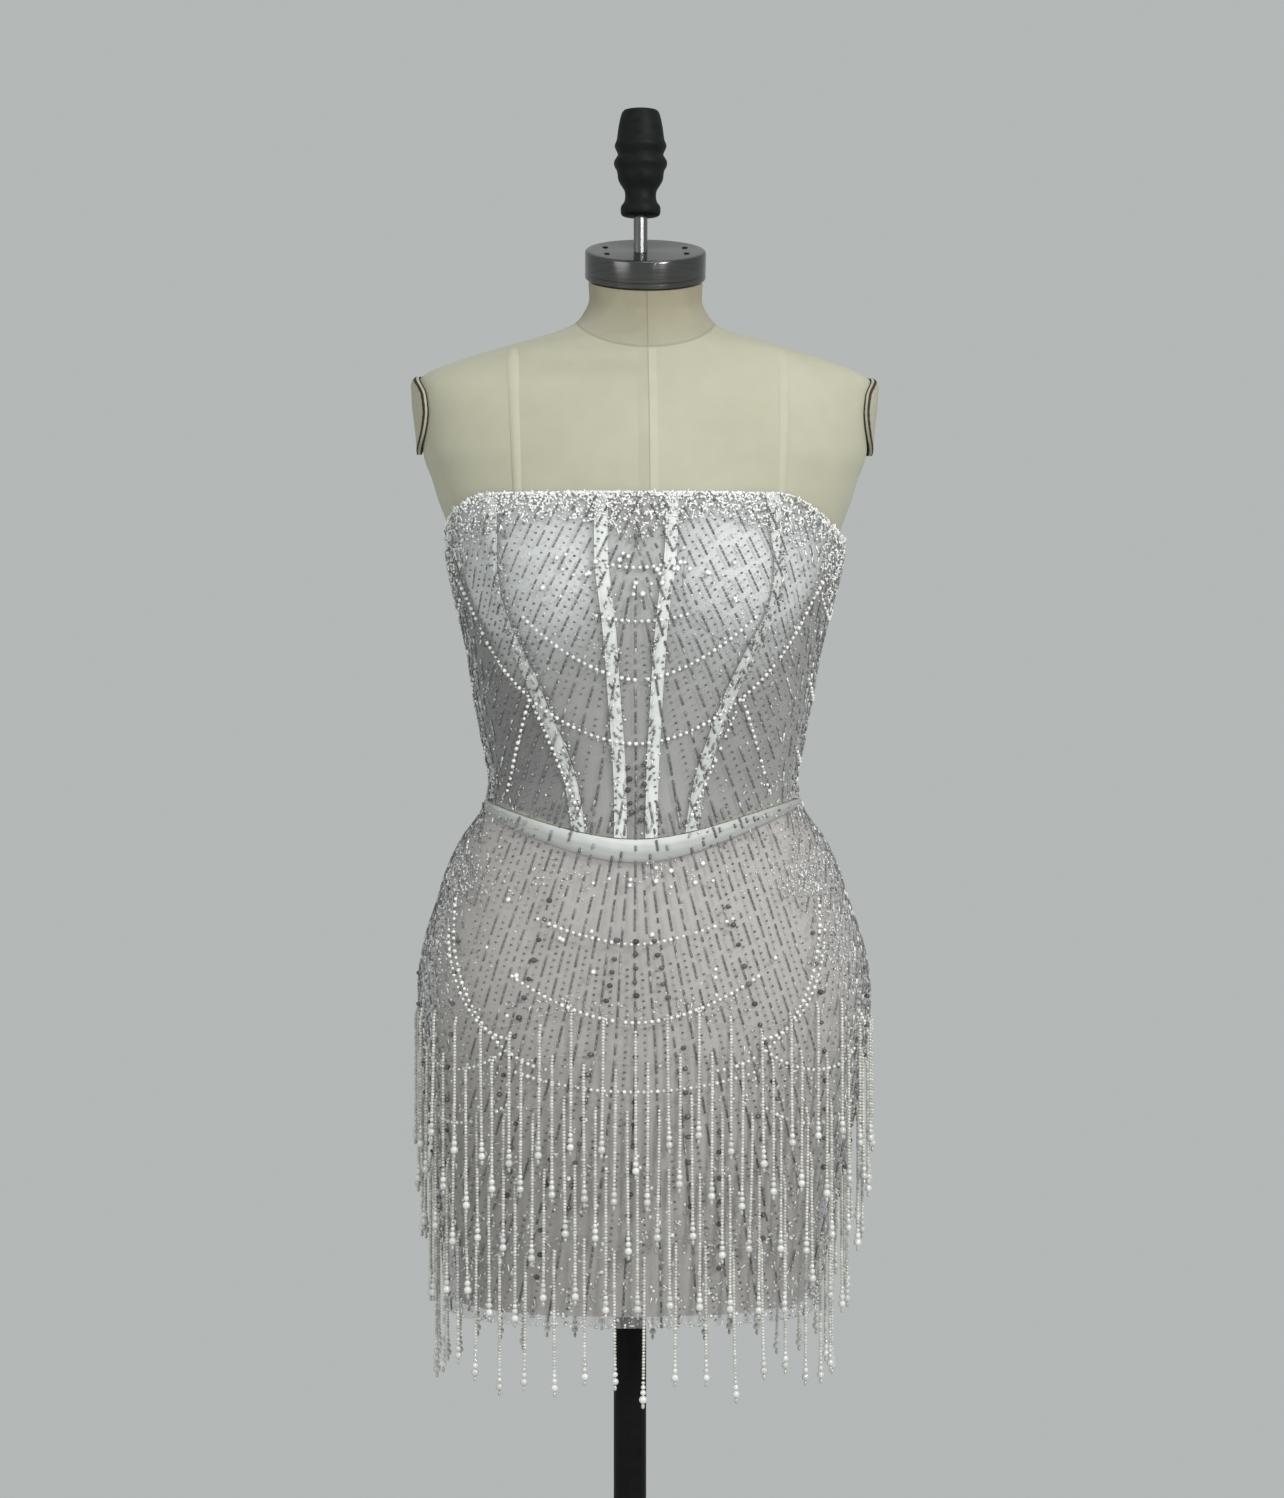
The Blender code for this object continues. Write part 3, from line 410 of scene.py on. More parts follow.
def shadedFinish(name, stops, cloudScale, cloudShare, pitch, roughness=.45, **sockets):
    # cloth whose own tint picks its tone, under a slow cloud, with crossing threads at a real pitch
    material, tree, shader = newFinish(name, stops[1][1], roughness, **sockets)
    cloud = combine(tree, "SUBTRACT", noiseFrom(tree, coordinates(tree, "UV"), cloudScale), .5)
    shade = combine(tree, "ADD", tintOf(tree), combine(tree, "MULTIPLY", cloud, cloudShare))
    tree.links.new(ramp(tree, shade, stops), shader.inputs["Base Color"])
    bumpFrom(tree, shader, crossing(tree, pitch), .25, pitch * .5)
    return material


def beadFinish(name, stops, roughness, **sockets):
    # each bead's own tint picks a colour, and a fine noise breaks its gloss
    material, tree, shader = newFinish(name, stops[0][1], roughness, **sockets)
    tree.links.new(ramp(tree, tintOf(tree), stops), shader.inputs["Base Color"])
    bumpFrom(tree, shader, noiseFrom(tree, coordinates(tree, "Object"), 900.0, 2.0), .25, .0002)
    return material


def metalFinish(name, low, high, roughness, scale, stretch, bump, metallic=1.0, **sockets):
    # streaks of a noise stretched along the work's direction
    material, tree, shader = newFinish(name, low, roughness, Metallic=metallic, **sockets)
    streaks = noiseFrom(tree, coordinates(tree, "Object"), scale, 6.0, .6, stretch)
    tree.links.new(ramp(tree, streaks, ((.3, low), (.72, high))), shader.inputs["Base Color"])
    rough = addNode(tree, "ShaderNodeMapRange", {"To Min": roughness * .75, "To Max": roughness * 1.35})
    tree.links.new(streaks, rough.inputs["Value"])
    tree.links.new(rough.outputs["Result"], shader.inputs["Roughness"])
    bumpFrom(tree, shader, streaks, bump, .0004)
    return material


def fadeFrom(tree, value, near, far):
    # 1 up to the near value, 0 from the far one on
    fade = addNode(tree, "ShaderNodeMapRange", {"From Min": near, "From Max": far, "To Min": 1, "To Max": 0})
    tree.links.new(value, fade.inputs["Value"])
    return fade.outputs["Result"]


def nearValue(tree, value, level, near, far):
    # 1 within the near distance of a level, 0 beyond the far distance
    return fadeFrom(tree, combine(tree, "ABSOLUTE", combine(tree, "SUBTRACT", value, level), 0), near, far)


def dotWith(tree, source, direction):
    # length of a place along a direction: their products added up
    dot = addNode(tree, "ShaderNodeVectorMath", {1: direction}, operation="DOT_PRODUCT")
    tree.links.new(source, dot.inputs[0])
    return dot.outputs["Value"]


def nearPlane(tree, source, direction, level, near, far):
    # 1 on the plane where the dot product with a direction is a level, 0 beyond the far distance
    return nearValue(tree, dotWith(tree, source, direction), level, near, far)


def mixOf(tree, share, a, b):
    # a times the rest of the share plus b times the share
    node = addNode(tree, "ShaderNodeMix", data_type="RGBA")
    for socket, value in (("Factor", share), ("A", a), ("B", b)):
        tree.links.new(value, node.inputs[socket])
    return node.outputs["Result"]


def canvasFinish(name):
    # woven canvas, darker and tanner above the neck seam (aged cloth with painted shade under the cap, deepening
    # toward it), with a paler tape down the centre and shaded seams
    material, tree, shader = newFinish(name, (.43, .42, .31), .85, Sheen_Weight=.1)
    place = coordinates(tree, "Object")
    cloth = crossing(tree, .0008, 1.2)
    cloud = blend(tree, noiseFrom(tree, place, 9.0), noiseFrom(tree, place, 55.0), .75)
    fresh = ramp(tree, cloud, ((.3, (.40, .39, .29)), (.7, (.475, .465, .355))))
    pale = ramp(tree, cloud, ((.3, (.455, .44, .335)), (.7, (.52, .505, .40))))
    agedAndShaded = ramp(tree, cloud, ((.3, (.235, .208, .137)), (.7, (.35, .312, .215))))
    worn = ramp(tree, cloud, ((.3, (.17, .14, .095)), (.7, (.21, .175, .12))))
    # the neck seam's height rises with the square of the distance from the centre, and toward the back
    aside = addNode(tree, "ShaderNodeVectorMath", {1: (.012, 0, 0)}, operation="SUBTRACT")
    square = addNode(tree, "ShaderNodeVectorMath", operation="MULTIPLY")
    tree.links.new(place, aside.inputs[0])
    tree.links.new(aside.outputs[0], square.inputs[0])
    tree.links.new(aside.outputs[0], square.inputs[1])
    level = combine(tree, "SUBTRACT", dotWith(tree, place, (0, -.25, 1)),
                    dotWith(tree, square.outputs[0], (3.9, 0, 0)))
    belowNeck = fadeFrom(tree, level, 1.4610, 1.4640)
    seams = combine(tree, "MAXIMUM", nearValue(tree, level, 1.4625, .0002, .0012),
                    combine(tree, "MAXIMUM", nearPlane(tree, place, (1, 0, 0), .0122, .0001, .0007),
                            nearPlane(tree, place, (0, 1, 0), .006, .0002, .0012)))
    centreTape = combine(tree, "MULTIPLY", nearPlane(tree, place, (1, 0, 0), .0158, .0028, .0036), .7)
    # painted shade under the cap over aged canvas: the neck runs from mostly fresh colour at the seam to the aged,
    # shaded colour at the cap
    nearSeam = combine(tree, "MULTIPLY", fadeFrom(tree, level, 1.4600, 1.5060), .62)
    colour = mixOf(tree, belowNeck, mixOf(tree, nearSeam, agedAndShaded, fresh), mixOf(tree, centreTape, fresh, pale))
    colour = mixOf(tree, combine(tree, "MULTIPLY", seams, .4), colour, worn)
    tree.links.new(colour, shader.inputs["Base Color"])
    bumpFrom(tree, shader, combine(tree, "SUBTRACT", combine(tree, "MULTIPLY", cloth, .3), seams), .5, .0008)
    return material


finishes = {
    "net": weaveFinish("silver_net", (.50, .495, .485), (.62, .61, .60), .55, .0013, .5, 10.0,
                       Alpha=.23, Sheen_Weight=.15),
    # its tint carries painted shade toward the hem and on the side away from the key lamp, from skirtShade
    "skirtSatin": shadedFinish("nude_lining", ((0, (.275, .25, .23)), (.5, (.615, .565, .535)),
                                               (1, (.85, .805, .775))), 9.0, .22, .0005, Sheen_Weight=.1),
    "boneSatin": weaveFinish("bone_satin", (.54, .56, .54), (.76, .78, .76), .42, .0006, .3, 60.0),
    "boneShade": weaveFinish("bone_satin_veiled", (.40, .41, .40), (.66, .68, .66), .45, .0006, .3, 60.0),
    # its tint carries painted light on the band's upper face
    "bandSatin": shadedFinish("band_satin", ((.05, (.30, .30, .29)), (.45, (.40, .41, .39)), (.95, (.64, .66, .64))),
                              30.0, .35, .0006, .4, Sheen_Weight=.1),
    # its tint carries the painted light on the cups and the painted shade below the great arc, from bodiceShade
    "bodiceSatin": shadedFinish("bodice_satin", ((0, (.05, .054, .05)), (.5, (.40, .405, .395)),
                                                 (1, (.95, .98, .985))), 18.0, .16, .0005, Sheen_Weight=.1),
    "canvas": canvasFinish("cream_canvas"),
    "canvasTape": weaveFinish("canvas_tape", (.425, .415, .31), (.50, .49, .38), .8, .0007, .4, 40.0),
    "zipTape": weaveFinish("zip_tape", (.62, .63, .62), (.74, .75, .74), .7, .0006, .4, 50.0),
    "zipTeeth": beadFinish("zip_teeth", ((0, (.70, .71, .70)), (1, (.80, .81, .80))), .35),
    "silverThread": beadFinish("silver_thread_beads", ((0, (.12, .12, .117)), (.5, (.26, .26, .255)),
                                                       (.8, (.58, .58, .57)), (1, (.96, .96, .94))), .26,
                               Metallic=.15),
    "sparkle": beadFinish("sparkling_beads", ((0, (.40, .40, .395)), (.3, (.64, .64, .63)),
                                              (.65, (.88, .88, .86)), (1, (.99, .99, .97))), .2, Metallic=.1),
    "smoke": beadFinish("smoke_beads", ((0, (.055, .055, .053)), (1, (.16, .16, .155))), .14, Metallic=.3,
                        Coat_Weight=.5),
    "pearls": beadFinish("pearls", ((0, (.44, .435, .41)), (.6, (.68, .675, .645)), (1, (.95, .94, .91))), .18,
                         Coat_Weight=.8, Metallic=.12),
    "threadBeads": beadFinish("thread_beads", ((0, (.49, .485, .44)), (1, (.79, .78, .725))), .26,
                              Coat_Weight=.4),
    "plate": shadedFinish("canvas_plate", ((.0, (.42, .41, .31)), (.42, (.38, .36, .27)), (.58, (.075, .05, .033)),
                                           (1, (.035, .022, .014))), 320.0, .9, .0008, .85),
    "steel": metalFinish("brushed_steel", (.095, .095, .092), (.145, .145, .14), .20, 30.0, (1, 1, 22), .06,
                         Anisotropic=.8, Anisotropic_Rotation=.25),
    "rodSteel": metalFinish("turned_rod", (.16, .16, .155), (.24, .24, .235), .16, 140.0, (1, 1, .06), .03),
    "steelTop": metalFinish("steel_top", (.12, .125, .125), (.20, .205, .205), .36, 90.0, (1, 1, 1), .2),
    "lacquer": metalFinish("black_lacquer", (.003, .004, .004), (.007, .009, .009), .55, 70.0, (1, 1, 3), .35, 0.0,
                           Specular_IOR_Level=.16),
    "paint": metalFinish("black_paint", (.003, .003, .003), (.006, .006, .006), .5, 25.0, (1, 1, 3), .15, 0.0,
                         Specular_IOR_Level=.12),
    "iron": metalFinish("cast_iron", (.018, .018, .018), (.040, .039, .038), .55, 240.0, (1, 1, 1), .45, .2),
}
print("finishes made")

# Stand: the CAD's own pieces with their finishes
for name, finish in (("base_plate", "iron"), ("base_hub", "iron"), ("pole", "paint"), ("form_flange", "iron"),
                     ("knob_rod", "rodSteel"), ("zip_slider", "steelTop"), ("zip_pull", "steelTop")):
    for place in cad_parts[name].material_slots:
        place.material = finishes[finish]

# Knob, cap and their small parts
neck = {"tilt": math.radians(19), "capTop": 1.532, "capAside": .0125, "capRadius": .0485, "capHeight": .023,
        "rodAside": .0085, "screwRing": .0345, "screwAngles": (205, 158, 22, -20), "screwRadius": .0024}
knobProfile = ((0, 1.5594), (.0138, 1.5594), (.0150, 1.5600), (.0158, 1.5614), (.0160, 1.5634), (.0160, 1.5656),
               (.0156, 1.5672), (.0146, 1.5686), (.0133, 1.5704), (.0126, 1.5726), (.0124, 1.5750), (.0125, 1.5776),
               (.0130, 1.5798), (.0144, 1.5822), (.0163, 1.5850), (.0177, 1.5878), (.0183, 1.5906), (.0186, 1.5936),
               (.0192, 1.5962), (.0207, 1.5986), (.0214, 1.6010), (.0211, 1.6034), (.0198, 1.6056), (.0186, 1.6074),
               (.0182, 1.6086), (.0187, 1.6102), (.0201, 1.6130), (.0208, 1.6152), (.0205, 1.6170), (.0197, 1.6188),
               (.0190, 1.6208), (.0186, 1.6240), (.0178, 1.6300), (.0167, 1.6360), (.0155, 1.6406), (.0146, 1.6426),
               (.0134, 1.6438), (.0118, 1.6442), (0, 1.6442))
turned("turned_knob", knobProfile, 64, finishes["lacquer"], "form", ("knob",), (neck["rodAside"], 0, 0))


def capProfile():
    # radius and height round the cap, from the middle below, over a groove, to the middle on top
    r, h = neck["capRadius"], neck["capHeight"]
    return ((0, -h), (r - .0022, -h), (r - .0008, -h + .0004), (r, -h + .0014), (r, -h + .0040),
            (r - .0005, -h + .0046), (r - .0005, -h + .0052), (r, -h + .0058), (r, -.0016), (r - .0004, -.0006),
            (r - .0013, 0),
            (r - .0050, 0), (r * .55, -.0004), (.0075, -.0006), (0, -.0006))


turned("steel_cap", capProfile(), 96, finishes["steel"], "form", ("neck_cap",),
       (neck["capAside"], 0, neck["capTop"]), neck["tilt"])


def capPoint(angle, radius, height):
    # a point on the tilted cap's own top, from an angle round it
    x, y = radius * math.cos(angle), radius * math.sin(angle)
    t = neck["tilt"]
    return (neck["capAside"] + x, y * math.cos(t) - height * math.sin(t),
            neck["capTop"] + y * math.sin(t) + height * math.cos(t))


for number, degrees in enumerate(neck["screwAngles"]):
    r = neck["screwRadius"]
    head = ((0, -.0004), (r, -.0004), (r, .0002), (r * .8, .0007), (r * .45, .0008), (r * .4, .0001), (0, .0001))
    turned(f"cap_screw_{number}", head, 20, finishes["paint"], "form", (),
           capPoint(math.radians(degrees), neck["screwRing"], -.0003), neck["tilt"])
print("stand, cap and knob done")

# Form: the canvas body with its seams and tapes
form = {"rows": 64, "hiddenRows": 34, "columns": 128, "bottom": .780, "tiltStart": 1.430, "top": 1.5074,
        "tapeHalf": .0031}


def torsoPoint(angle, z, out):
    # the figure less its ease, leaned at the neck so that the cap sits level on the tilted cut
    inset = at("ease", z) + .010 * (1 - easeIn(0, .004, z - form["bottom"])) * (z < form["bottom"] + .004)
    inset = inset + .003 * np.clip(1 - (z - form["bottom"]) / .014, 0, 1)
    point = skin(angle, z, out - inset - cupRoom(angle, z))
    lean = math.tan(neck["tilt"]) * easeIn(form["tiltStart"], form["top"], z)
    point[..., 2] += lean * point[..., 1]
    return point


def buildTorso():
    # rings of points at levels set close at the neck, each at the angles of even steps round the oval
    z = np.concatenate([form["bottom"] + np.array([0, .001, .002, .004, .008, .014]),
                        np.linspace(.80, 1.30, form["hiddenRows"], endpoint=False),
                        np.linspace(1.30, form["top"], form["rows"])])
    turn = np.arange(form["columns"]) * 2 * math.pi / form["columns"]
    gridZ, gridTurn = np.meshgrid(z, turn, indexing="ij")
    depth = np.where(np.cos(gridTurn) > 0, at("front", gridZ), at("back", gridZ))
    angle = np.arctan2(at("halfWidth", gridZ) * np.sin(gridTurn), depth * np.cos(gridTurn))
    points = torsoPoint(angle, gridZ, np.zeros(gridZ.shape))
    length = np.cumsum(np.linalg.norm(np.diff(points, axis=1, prepend=points[:, -1:]), axis=2), axis=1)
    uv = np.stack([length, gridZ], axis=-1)
    mesh = ringMesh("canvas_form", points, points[0].mean(axis=0), points[-1].mean(axis=0), uv, sharp=50)
    return addPiece("canvas_form", mesh, finishes["canvas"], "form", ("form_torso",))


def angleForX(x, z):
    # the angle on the form's front whose point lies at x, read from a fine table
    angles = np.linspace(-.5 * math.pi, .5 * math.pi, 721)
    table = torsoPoint(angles[None, :], z[:, None], np.zeros((len(z), 721)))[..., 0]
    return np.array([np.interp(value, line, angles) for value, line in zip(x, table)])


def tapeOnForm(name, x, z):
    # a flat tape: five columns across its width, its edges pressed down to the canvas
    half = form["tapeHalf"]
    angles = angleForX(x, z)
    across = np.array([-1, -.92, 0, .92, 1])
    rise = np.array([.00005, .0004, .0005, .0004, .00005])
    grid = angles[:, None] + across * (half / reach(angles, z))[:, None]
    gridZ = np.broadcast_to(z[:, None], grid.shape)
    outer = torsoPoint(grid, gridZ, np.broadcast_to(rise, grid.shape))
    inner = torsoPoint(grid, gridZ, np.full(grid.shape, -.0003))
    uv = np.stack([np.broadcast_to(across * half, grid.shape), gridZ], axis=-1)
    return clothPiece(name, outer, inner, finishes["canvasTape"], (), uv)


armPlate = {"level": 1.399, "halfHeight": .031, "halfAngle": math.radians(12), "gap": .0008, "thick": .0040}
armRings = np.array((
    # share of the plate's radius, share of its thickness, darkness of the worn edge
    (.2, 0, 0), (.5, 0, 0), (.8, 0, 0), (.92, 0, .1), (.97, .01, 1), (1, .06, 1), (1, .20, .9), (1, .30, .1),
    (1, .50, 0), (1, .70, .1), (1, .80, .9), (1, .94, 1), (.97, .99, 1), (.92, 1, .1), (.8, 1, 0), (.5, 1, 0),
    (.2, 1, 0)))


def buildArmPlates():
    # an oval board on each side, curved with the form, covered in canvas and worn dark along both edges
    share, deep, dark = armRings.T
    turn = np.arange(56) * 2 * math.pi / 56
    for side, centre in (("left", math.pi / 2), ("right", -math.pi / 2)):
        aside, up = share[:, None] * np.cos(turn), share[:, None] * np.sin(turn)
        angle, z = centre + armPlate["halfAngle"] * aside, armPlate["level"] + armPlate["halfHeight"] * up
        rings = skin(angle, z, armPlate["gap"] + armPlate["thick"] * deep[:, None])
        uv = np.stack([aside * .04, up * .031], axis=-1)
        mesh = ringMesh(f"canvas_plate_{side}", rings, rings[0].mean(axis=0), rings[-1].mean(axis=0), uv, dark, 40)
        addPiece(f"canvas_plate_{side}", mesh, finishes["plate"], "form", (f"arm_plate_{side}",))


buildArmPlates()
canvasForm = buildTorso()
tapeLevels = np.linspace(1.30, 1.452, 60)
for name, x in (("form_tape_right", -.0895), ("form_tape_left", .1150)):
    tapeOnForm(name, x + math.copysign(.004, x) * easeIn(1.30, 1.45, tapeLevels), tapeLevels)
print("form done")

# Dress cloth: creases, each with its place on the flat cloth, its half length and half width, its
# lean and its depth (positive stands proud)
creaseRows = np.array((
    # along, level, halfLength, halfWidth, lean, depth
    (-.118, 1.012, .042, .0120, .30, .0021), (-.082, 1.005, .050, .0085, .22, -.0014),
    (-.050, 1.000, .040, .0075, .12, .0009), (.102, 1.008, .046, .0110, -.28, .0017),
    (.140, .995, .050, .0090, -.35, -.0012), (.060, .998, .036, .0070, -.15, .0008),
    (-.160, .900, .085, .0130, .05, .0018), (.172, .905, .080, .0140, -.04, .0020),
    (-.035, .800, .085, .0150, .02, .0012), (.048, .790, .090, .0160, -.03, .0014),
    (.110, .800, .080, .0140, -.04, -.0010), (-.105, .790, .080, .0140, .04, -.0012),
    (.250, .960, .090, .0150, .02, .0017), (-.250, .955, .090, .0160, -.02, .0016),
    (.330, .900, .110, .0160, .03, -.0013), (-.335, .905, .110, .0150, -.03, -.0012),
    (.400, .860, .120, .0180, .02, .0018), (-.405, .870, .120, .0170, -.02, .0017),
    (.455, .980, .060, .0110, .10, .0012), (-.455, .985, .060, .0110, -.10, .0012),
    (.150, 1.120, .012, .0060, 3.0, .0010), (-.150, 1.125, .012, .0060, -3.0, .0010),
    (.175, 1.140, .014, .0050, 2.6, .0008), (-.176, 1.142, .014, .0050, -2.6, .0008),
    (.215, 1.118, .016, .0060, 3.2, .0010), (-.215, 1.120, .016, .0060, -3.2, .0010),
    (.330, 1.122, .020, .0060, 3.5, .0009), (-.330, 1.120, .020, .0060, -3.5, .0009),
    (.062, 1.205, .022, .0060, 1.4, .0006), (-.064, 1.204, .022, .0060, -1.4, .0006)))


def crease(along, z):
    # a soft bell across each crease's line and a longer bell along it, all added together
    height = np.zeros(np.broadcast(along, z).shape)
    for place, level, halfLength, halfWidth, lean, depth in creaseRows:
        tall = 1 / math.hypot(1, lean)
        down, aside = z - level, along - place
        onLine = (down + aside * -lean) * tall
        offLine = (aside + down * lean) * tall
        height += depth * np.exp(-(onLine / halfLength) ** 2 - (offLine / halfWidth) ** 2)
    return height


def cloth(local, z, out, along=None):
    # the dress's surface with its creases, moved out
    along = lengthAt(local, z) if along is None else along
    return dress(local, z, out + crease(along, z))


def betweenLines(first, last, columns, bottom, top, rows):
    # angles and heights of a panel: each column runs between its two side lines
    shares = np.linspace(0, 1, rows)[:, None]
    across = np.linspace(0, 1, columns)[None, :]
    z = np.broadcast_to(1.08 + .22 * shares, (rows, columns))
    for _ in range(5):
        local = first(z) + across * (last(z) - first(z))
        z = bottom(local) + shares * (top(local) - bottom(local))
    return first(z) + across * (last(z) - first(z)), z


def beside(line, length):
    # a line at a length along the cloth from another one: its angle plus the length over the radius
    return lambda z: line(z) + length / reach(line(z) + cut["turn"], z)


def turnedBy(degrees):
    # a side line at one angle
    return lambda z: np.full(np.shape(z), math.radians(degrees))


def mirrored(first, last):
    # the two side lines of a panel on the wearer's right
    return (lambda z: -last(z)), (lambda z: -first(z))


def level(height):
    # an edge at one height
    return lambda local: np.full(np.shape(local), height)


def nearWaist(up):
    # an edge at a distance above the waist line
    return lambda local: waistLine(local) + up


panelCloth = {"wall": .0006, "rows": 60, "gap": .00025, "zipGap": .0026, "waistGap": .0004}


def panel(name, lines, columns, levels, node):
    # net between two side lines and two levels, on the creased cloth
    local, z = betweenLines(*lines, columns, *levels, panelCloth["rows"])
    along = lengthAt(local, z)
    piece = clothPiece(name, cloth(local, z, 0.0, along), cloth(local, z, -panelCloth["wall"], along),
                       finishes["net"], (node,), np.stack([along, z], axis=-1))


def buildPanels():
    # net panels between the seam lines, each pair parted by a narrow gap
    gap = panelCloth["gap"]
    bodice = (nearWaist(panelCloth["waistGap"]), topEdge)
    skirt = (level(cut["hem"]), nearWaist(-panelCloth["waistGap"]))
    front, side = beside(princess, -gap), beside(turnedBy(90), -gap)
    panel("net_bodice_front", (mirrored(front, front)[0], front), 89, bodice,
          "bodice_centre_front")
    for name, turn in (("left", 1), ("right", -1)):
        sideLines = (beside(princess, gap), side)
        backLines = (beside(turnedBy(90), gap), beside(turnedBy(180), -panelCloth["zipGap"]))
        if turn < 0:
            sideLines, backLines = mirrored(*sideLines), mirrored(*backLines)
        panel(f"net_bodice_side_{name}", sideLines, 33, bodice,
              f"bodice_side_front_{name}")
        panel(f"net_bodice_back_{name}", backLines, 61, bodice,
              f"bodice_back_{name}")
        panel(f"net_skirt_back_{name}", backLines, 61, skirt,
              f"skirt_back_{name}")
    panel("net_skirt_front", (mirrored(side, side)[0], side), 121, skirt,
          "skirt_front")


lining = {"gap": .0015, "cloth": .0011, "wall": .0005, "hemRoom": .009, "columns": 81, "rows": 40}
shadeAt = {"base": .50, "cupHalf": math.radians(31), "cupLevel": 1.272, "cupHeight": .060}
shadeSides = (
    # turn, glow of the cup (its white tone plus painted light, more on the side away from the key lamp), painted
    # shade outside the great arc, deepest on that side
    (-1, .85, .50), (1, .66, .18))


def greatArc(along):
    # the level of the bodice's great arc of pearls at a length from the centre front
    return 1.137 + .128 * np.abs(along / .168) ** 1.85


def bodiceShade(local, z):
    # tone of the cloth under the net: a bright bell round each cup, the white cups' own tone with painted light on
    # the side away from the key lamp, painted shade outside the great arc, deepest on that side, and a little painted
    # shade low down under the bust
    aside = wrapped(local)
    along = lengthAt(aside, z)
    below = easeIn(.004, -.016, z - greatArc(along))
    tone = shadeAt["base"] - .04 * easeIn(1.20, 1.12, z)
    for turn, cupToneAndLight, dark in shadeSides:
        off = np.hypot((aside * turn - cup["angle"]) / shadeAt["cupHalf"],
                       (z - shadeAt["cupLevel"]) / shadeAt["cupHeight"])
        paintedShadow = below * easeIn(.015, .085, along * turn) * easeIn(1.95, 1.45, aside * turn)
        tone = tone + cupToneAndLight * np.exp(-off ** 3) * (1 - below) - dark * paintedShadow
    return np.clip(tone, 0, 1)


def skirtShade(local, z):
    # tone of the skirt's lining: duller under the middle of the fan, with painted shade toward the hem and on the
    # right, the side away from the key lamp
    aside = wrapped(local)
    middle = np.exp(-(aside / .45) ** 2 - ((z - .960) / .055) ** 2)
    return .52 - .13 * middle - .20 * easeIn(.88, .72, z) - .09 * easeIn(.2, 1.2, -aside)


def buildSkirtLinings():
    # hangs where the part has it, in soft waves that grow toward the hem
    levels = (level(cut["liningHem"] - lining["hemRoom"]), nearWaist(-.0012))
    for part, first, last, area in (("front", -90, 90, .1560), ("back", 90, 270, .1620)):
        local, z = betweenLines(turnedBy(first + .15), turnedBy(last - .15), lining["columns"], *levels,
                                lining["rows"])
        wide = 1 + .0006 * np.sin(local * 23) * easeIn(1.0, .75, z)
        out = lining["gap"] + lining["cloth"] - at("ease", z)
        out = (out + .0012 * np.sin(local * 9 + 1.1) * easeIn(.95, .72, z)) * wide
        # the tint paints shade toward the hem and on the right
        piece = clothPiece(f"lining_{part}_sheet", dress(local, z, out), dress(local, z, out - lining["wall"]),
                           finishes["skirtSatin"], (f"lining_{part}",),
                           np.stack([local * .15, z], axis=-1), tint=skirtShade(local, z))


def buildBodiceLining():
    # lies on the form, pressed back with it behind the cups
    local, z = betweenLines(turnedBy(-179.2), turnedBy(179.2), 161, nearWaist(.002),
                            lambda angle: topEdge(angle) - .004, lining["rows"])
    out = np.minimum(.0009 - at("ease", z) - cupRoom(local + cut["turn"], z) * .92, -.0011)
    # the tint paints shade outside the great arc and light round the cups
    piece = clothPiece("bodice_lining", dress(local, z, out), dress(local, z, out - .0004), finishes["bodiceSatin"],
                       (), np.stack([local * .13, z], axis=-1), tint=bodiceShade(local, z))


def buildCups():
    # a padded disc: full in the middle, its edge pressed thin, quilted by a ring of stitches
    u, v = np.meshgrid(np.linspace(-1, 1, 35), np.linspace(-1, 1, 35))
    u, v = u * np.sqrt(1 - v**2 / 2), v * np.sqrt(1 - u**2 / 2)
    fromMiddle = np.hypot(u, v)
    stitches = .0003 * np.exp(-((fromMiddle - .86) / .03) ** 2)
    thick = .0004 + cup["thick"] * (1 - easeIn(.80, 1.0, fromMiddle)) - stitches
    z = cup["level"] + cup["halfHeight"] * v
    for side, turn in (("left", 1), ("right", -1)):
        angle = turn * cup["angle"] + cup["halfAngle"] * u
        # the tint paints light on the cup away from the key lamp
        piece = clothPiece(f"padded_cup_{side}", dress(angle, z, thick - .0060), dress(angle, z, -.0061),
                           finishes["bodiceSatin"], (f"bust_cup_{side}",),
                           np.stack([angle * .13, z], axis=-1), tint=bodiceShade(angle, z))


bone = {"half": .0048, "rows": 90, "under": .00025, "seat": .0003}
boneRows = np.array((
    # share of the half width, rise in mm: rounded, with a stitched groove near each edge
    (-1, 0), (-.97, .7), (-.86, .85), (-.76, .60), (-.66, .95), (-.35, 1.15), (0, 1.2), (.35, 1.15), (.66, .95),
    (.76, .60), (.86, .85), (.97, .7), (1, 0)))


def buildBones():
    # each satin channel follows its own line from the waist to the top edge
    across, rise = boneRows.T
    shares = np.linspace(0, 1, bone["rows"])[:, None]
    for kind, line, finish in (("centre", centreBone, "boneSatin"), ("princess", princess, "boneShade")):
        edges = beside(line, bone["half"] * across)
        tall = np.broadcast_to(1.08 + .22 * shares, (bone["rows"], len(across)))
        for _ in range(5):
            low, high = waistLine(edges(tall)) + panelCloth["waistGap"], topEdge(edges(tall))
            tall = low + shares * (high - low)
        for side, turn in (("left", 1), ("right", -1)):
            local, z = turn * edges(tall)[:, ::turn], tall[:, ::turn]
            along = lengthAt(local, z)
            pull = .001 * (1 + .12 * np.sin(z * 310 + turn) * np.sin(z * 127))
            piece = clothPiece(f"channel_{kind}_{side}", cloth(local, z, bone["seat"] + rise * pull, along),
                               cloth(local, z, bone["under"], along), finishes[finish],
                               (f"bone_{kind}_{side}",), np.stack([along, z], axis=-1))


def bandRoll(share):
    # thin at the lower edge, fullest just under the upper one
    return np.clip(share, 0, 1) ** .6 * (1 - np.clip(share, 0, 1) ** 9)


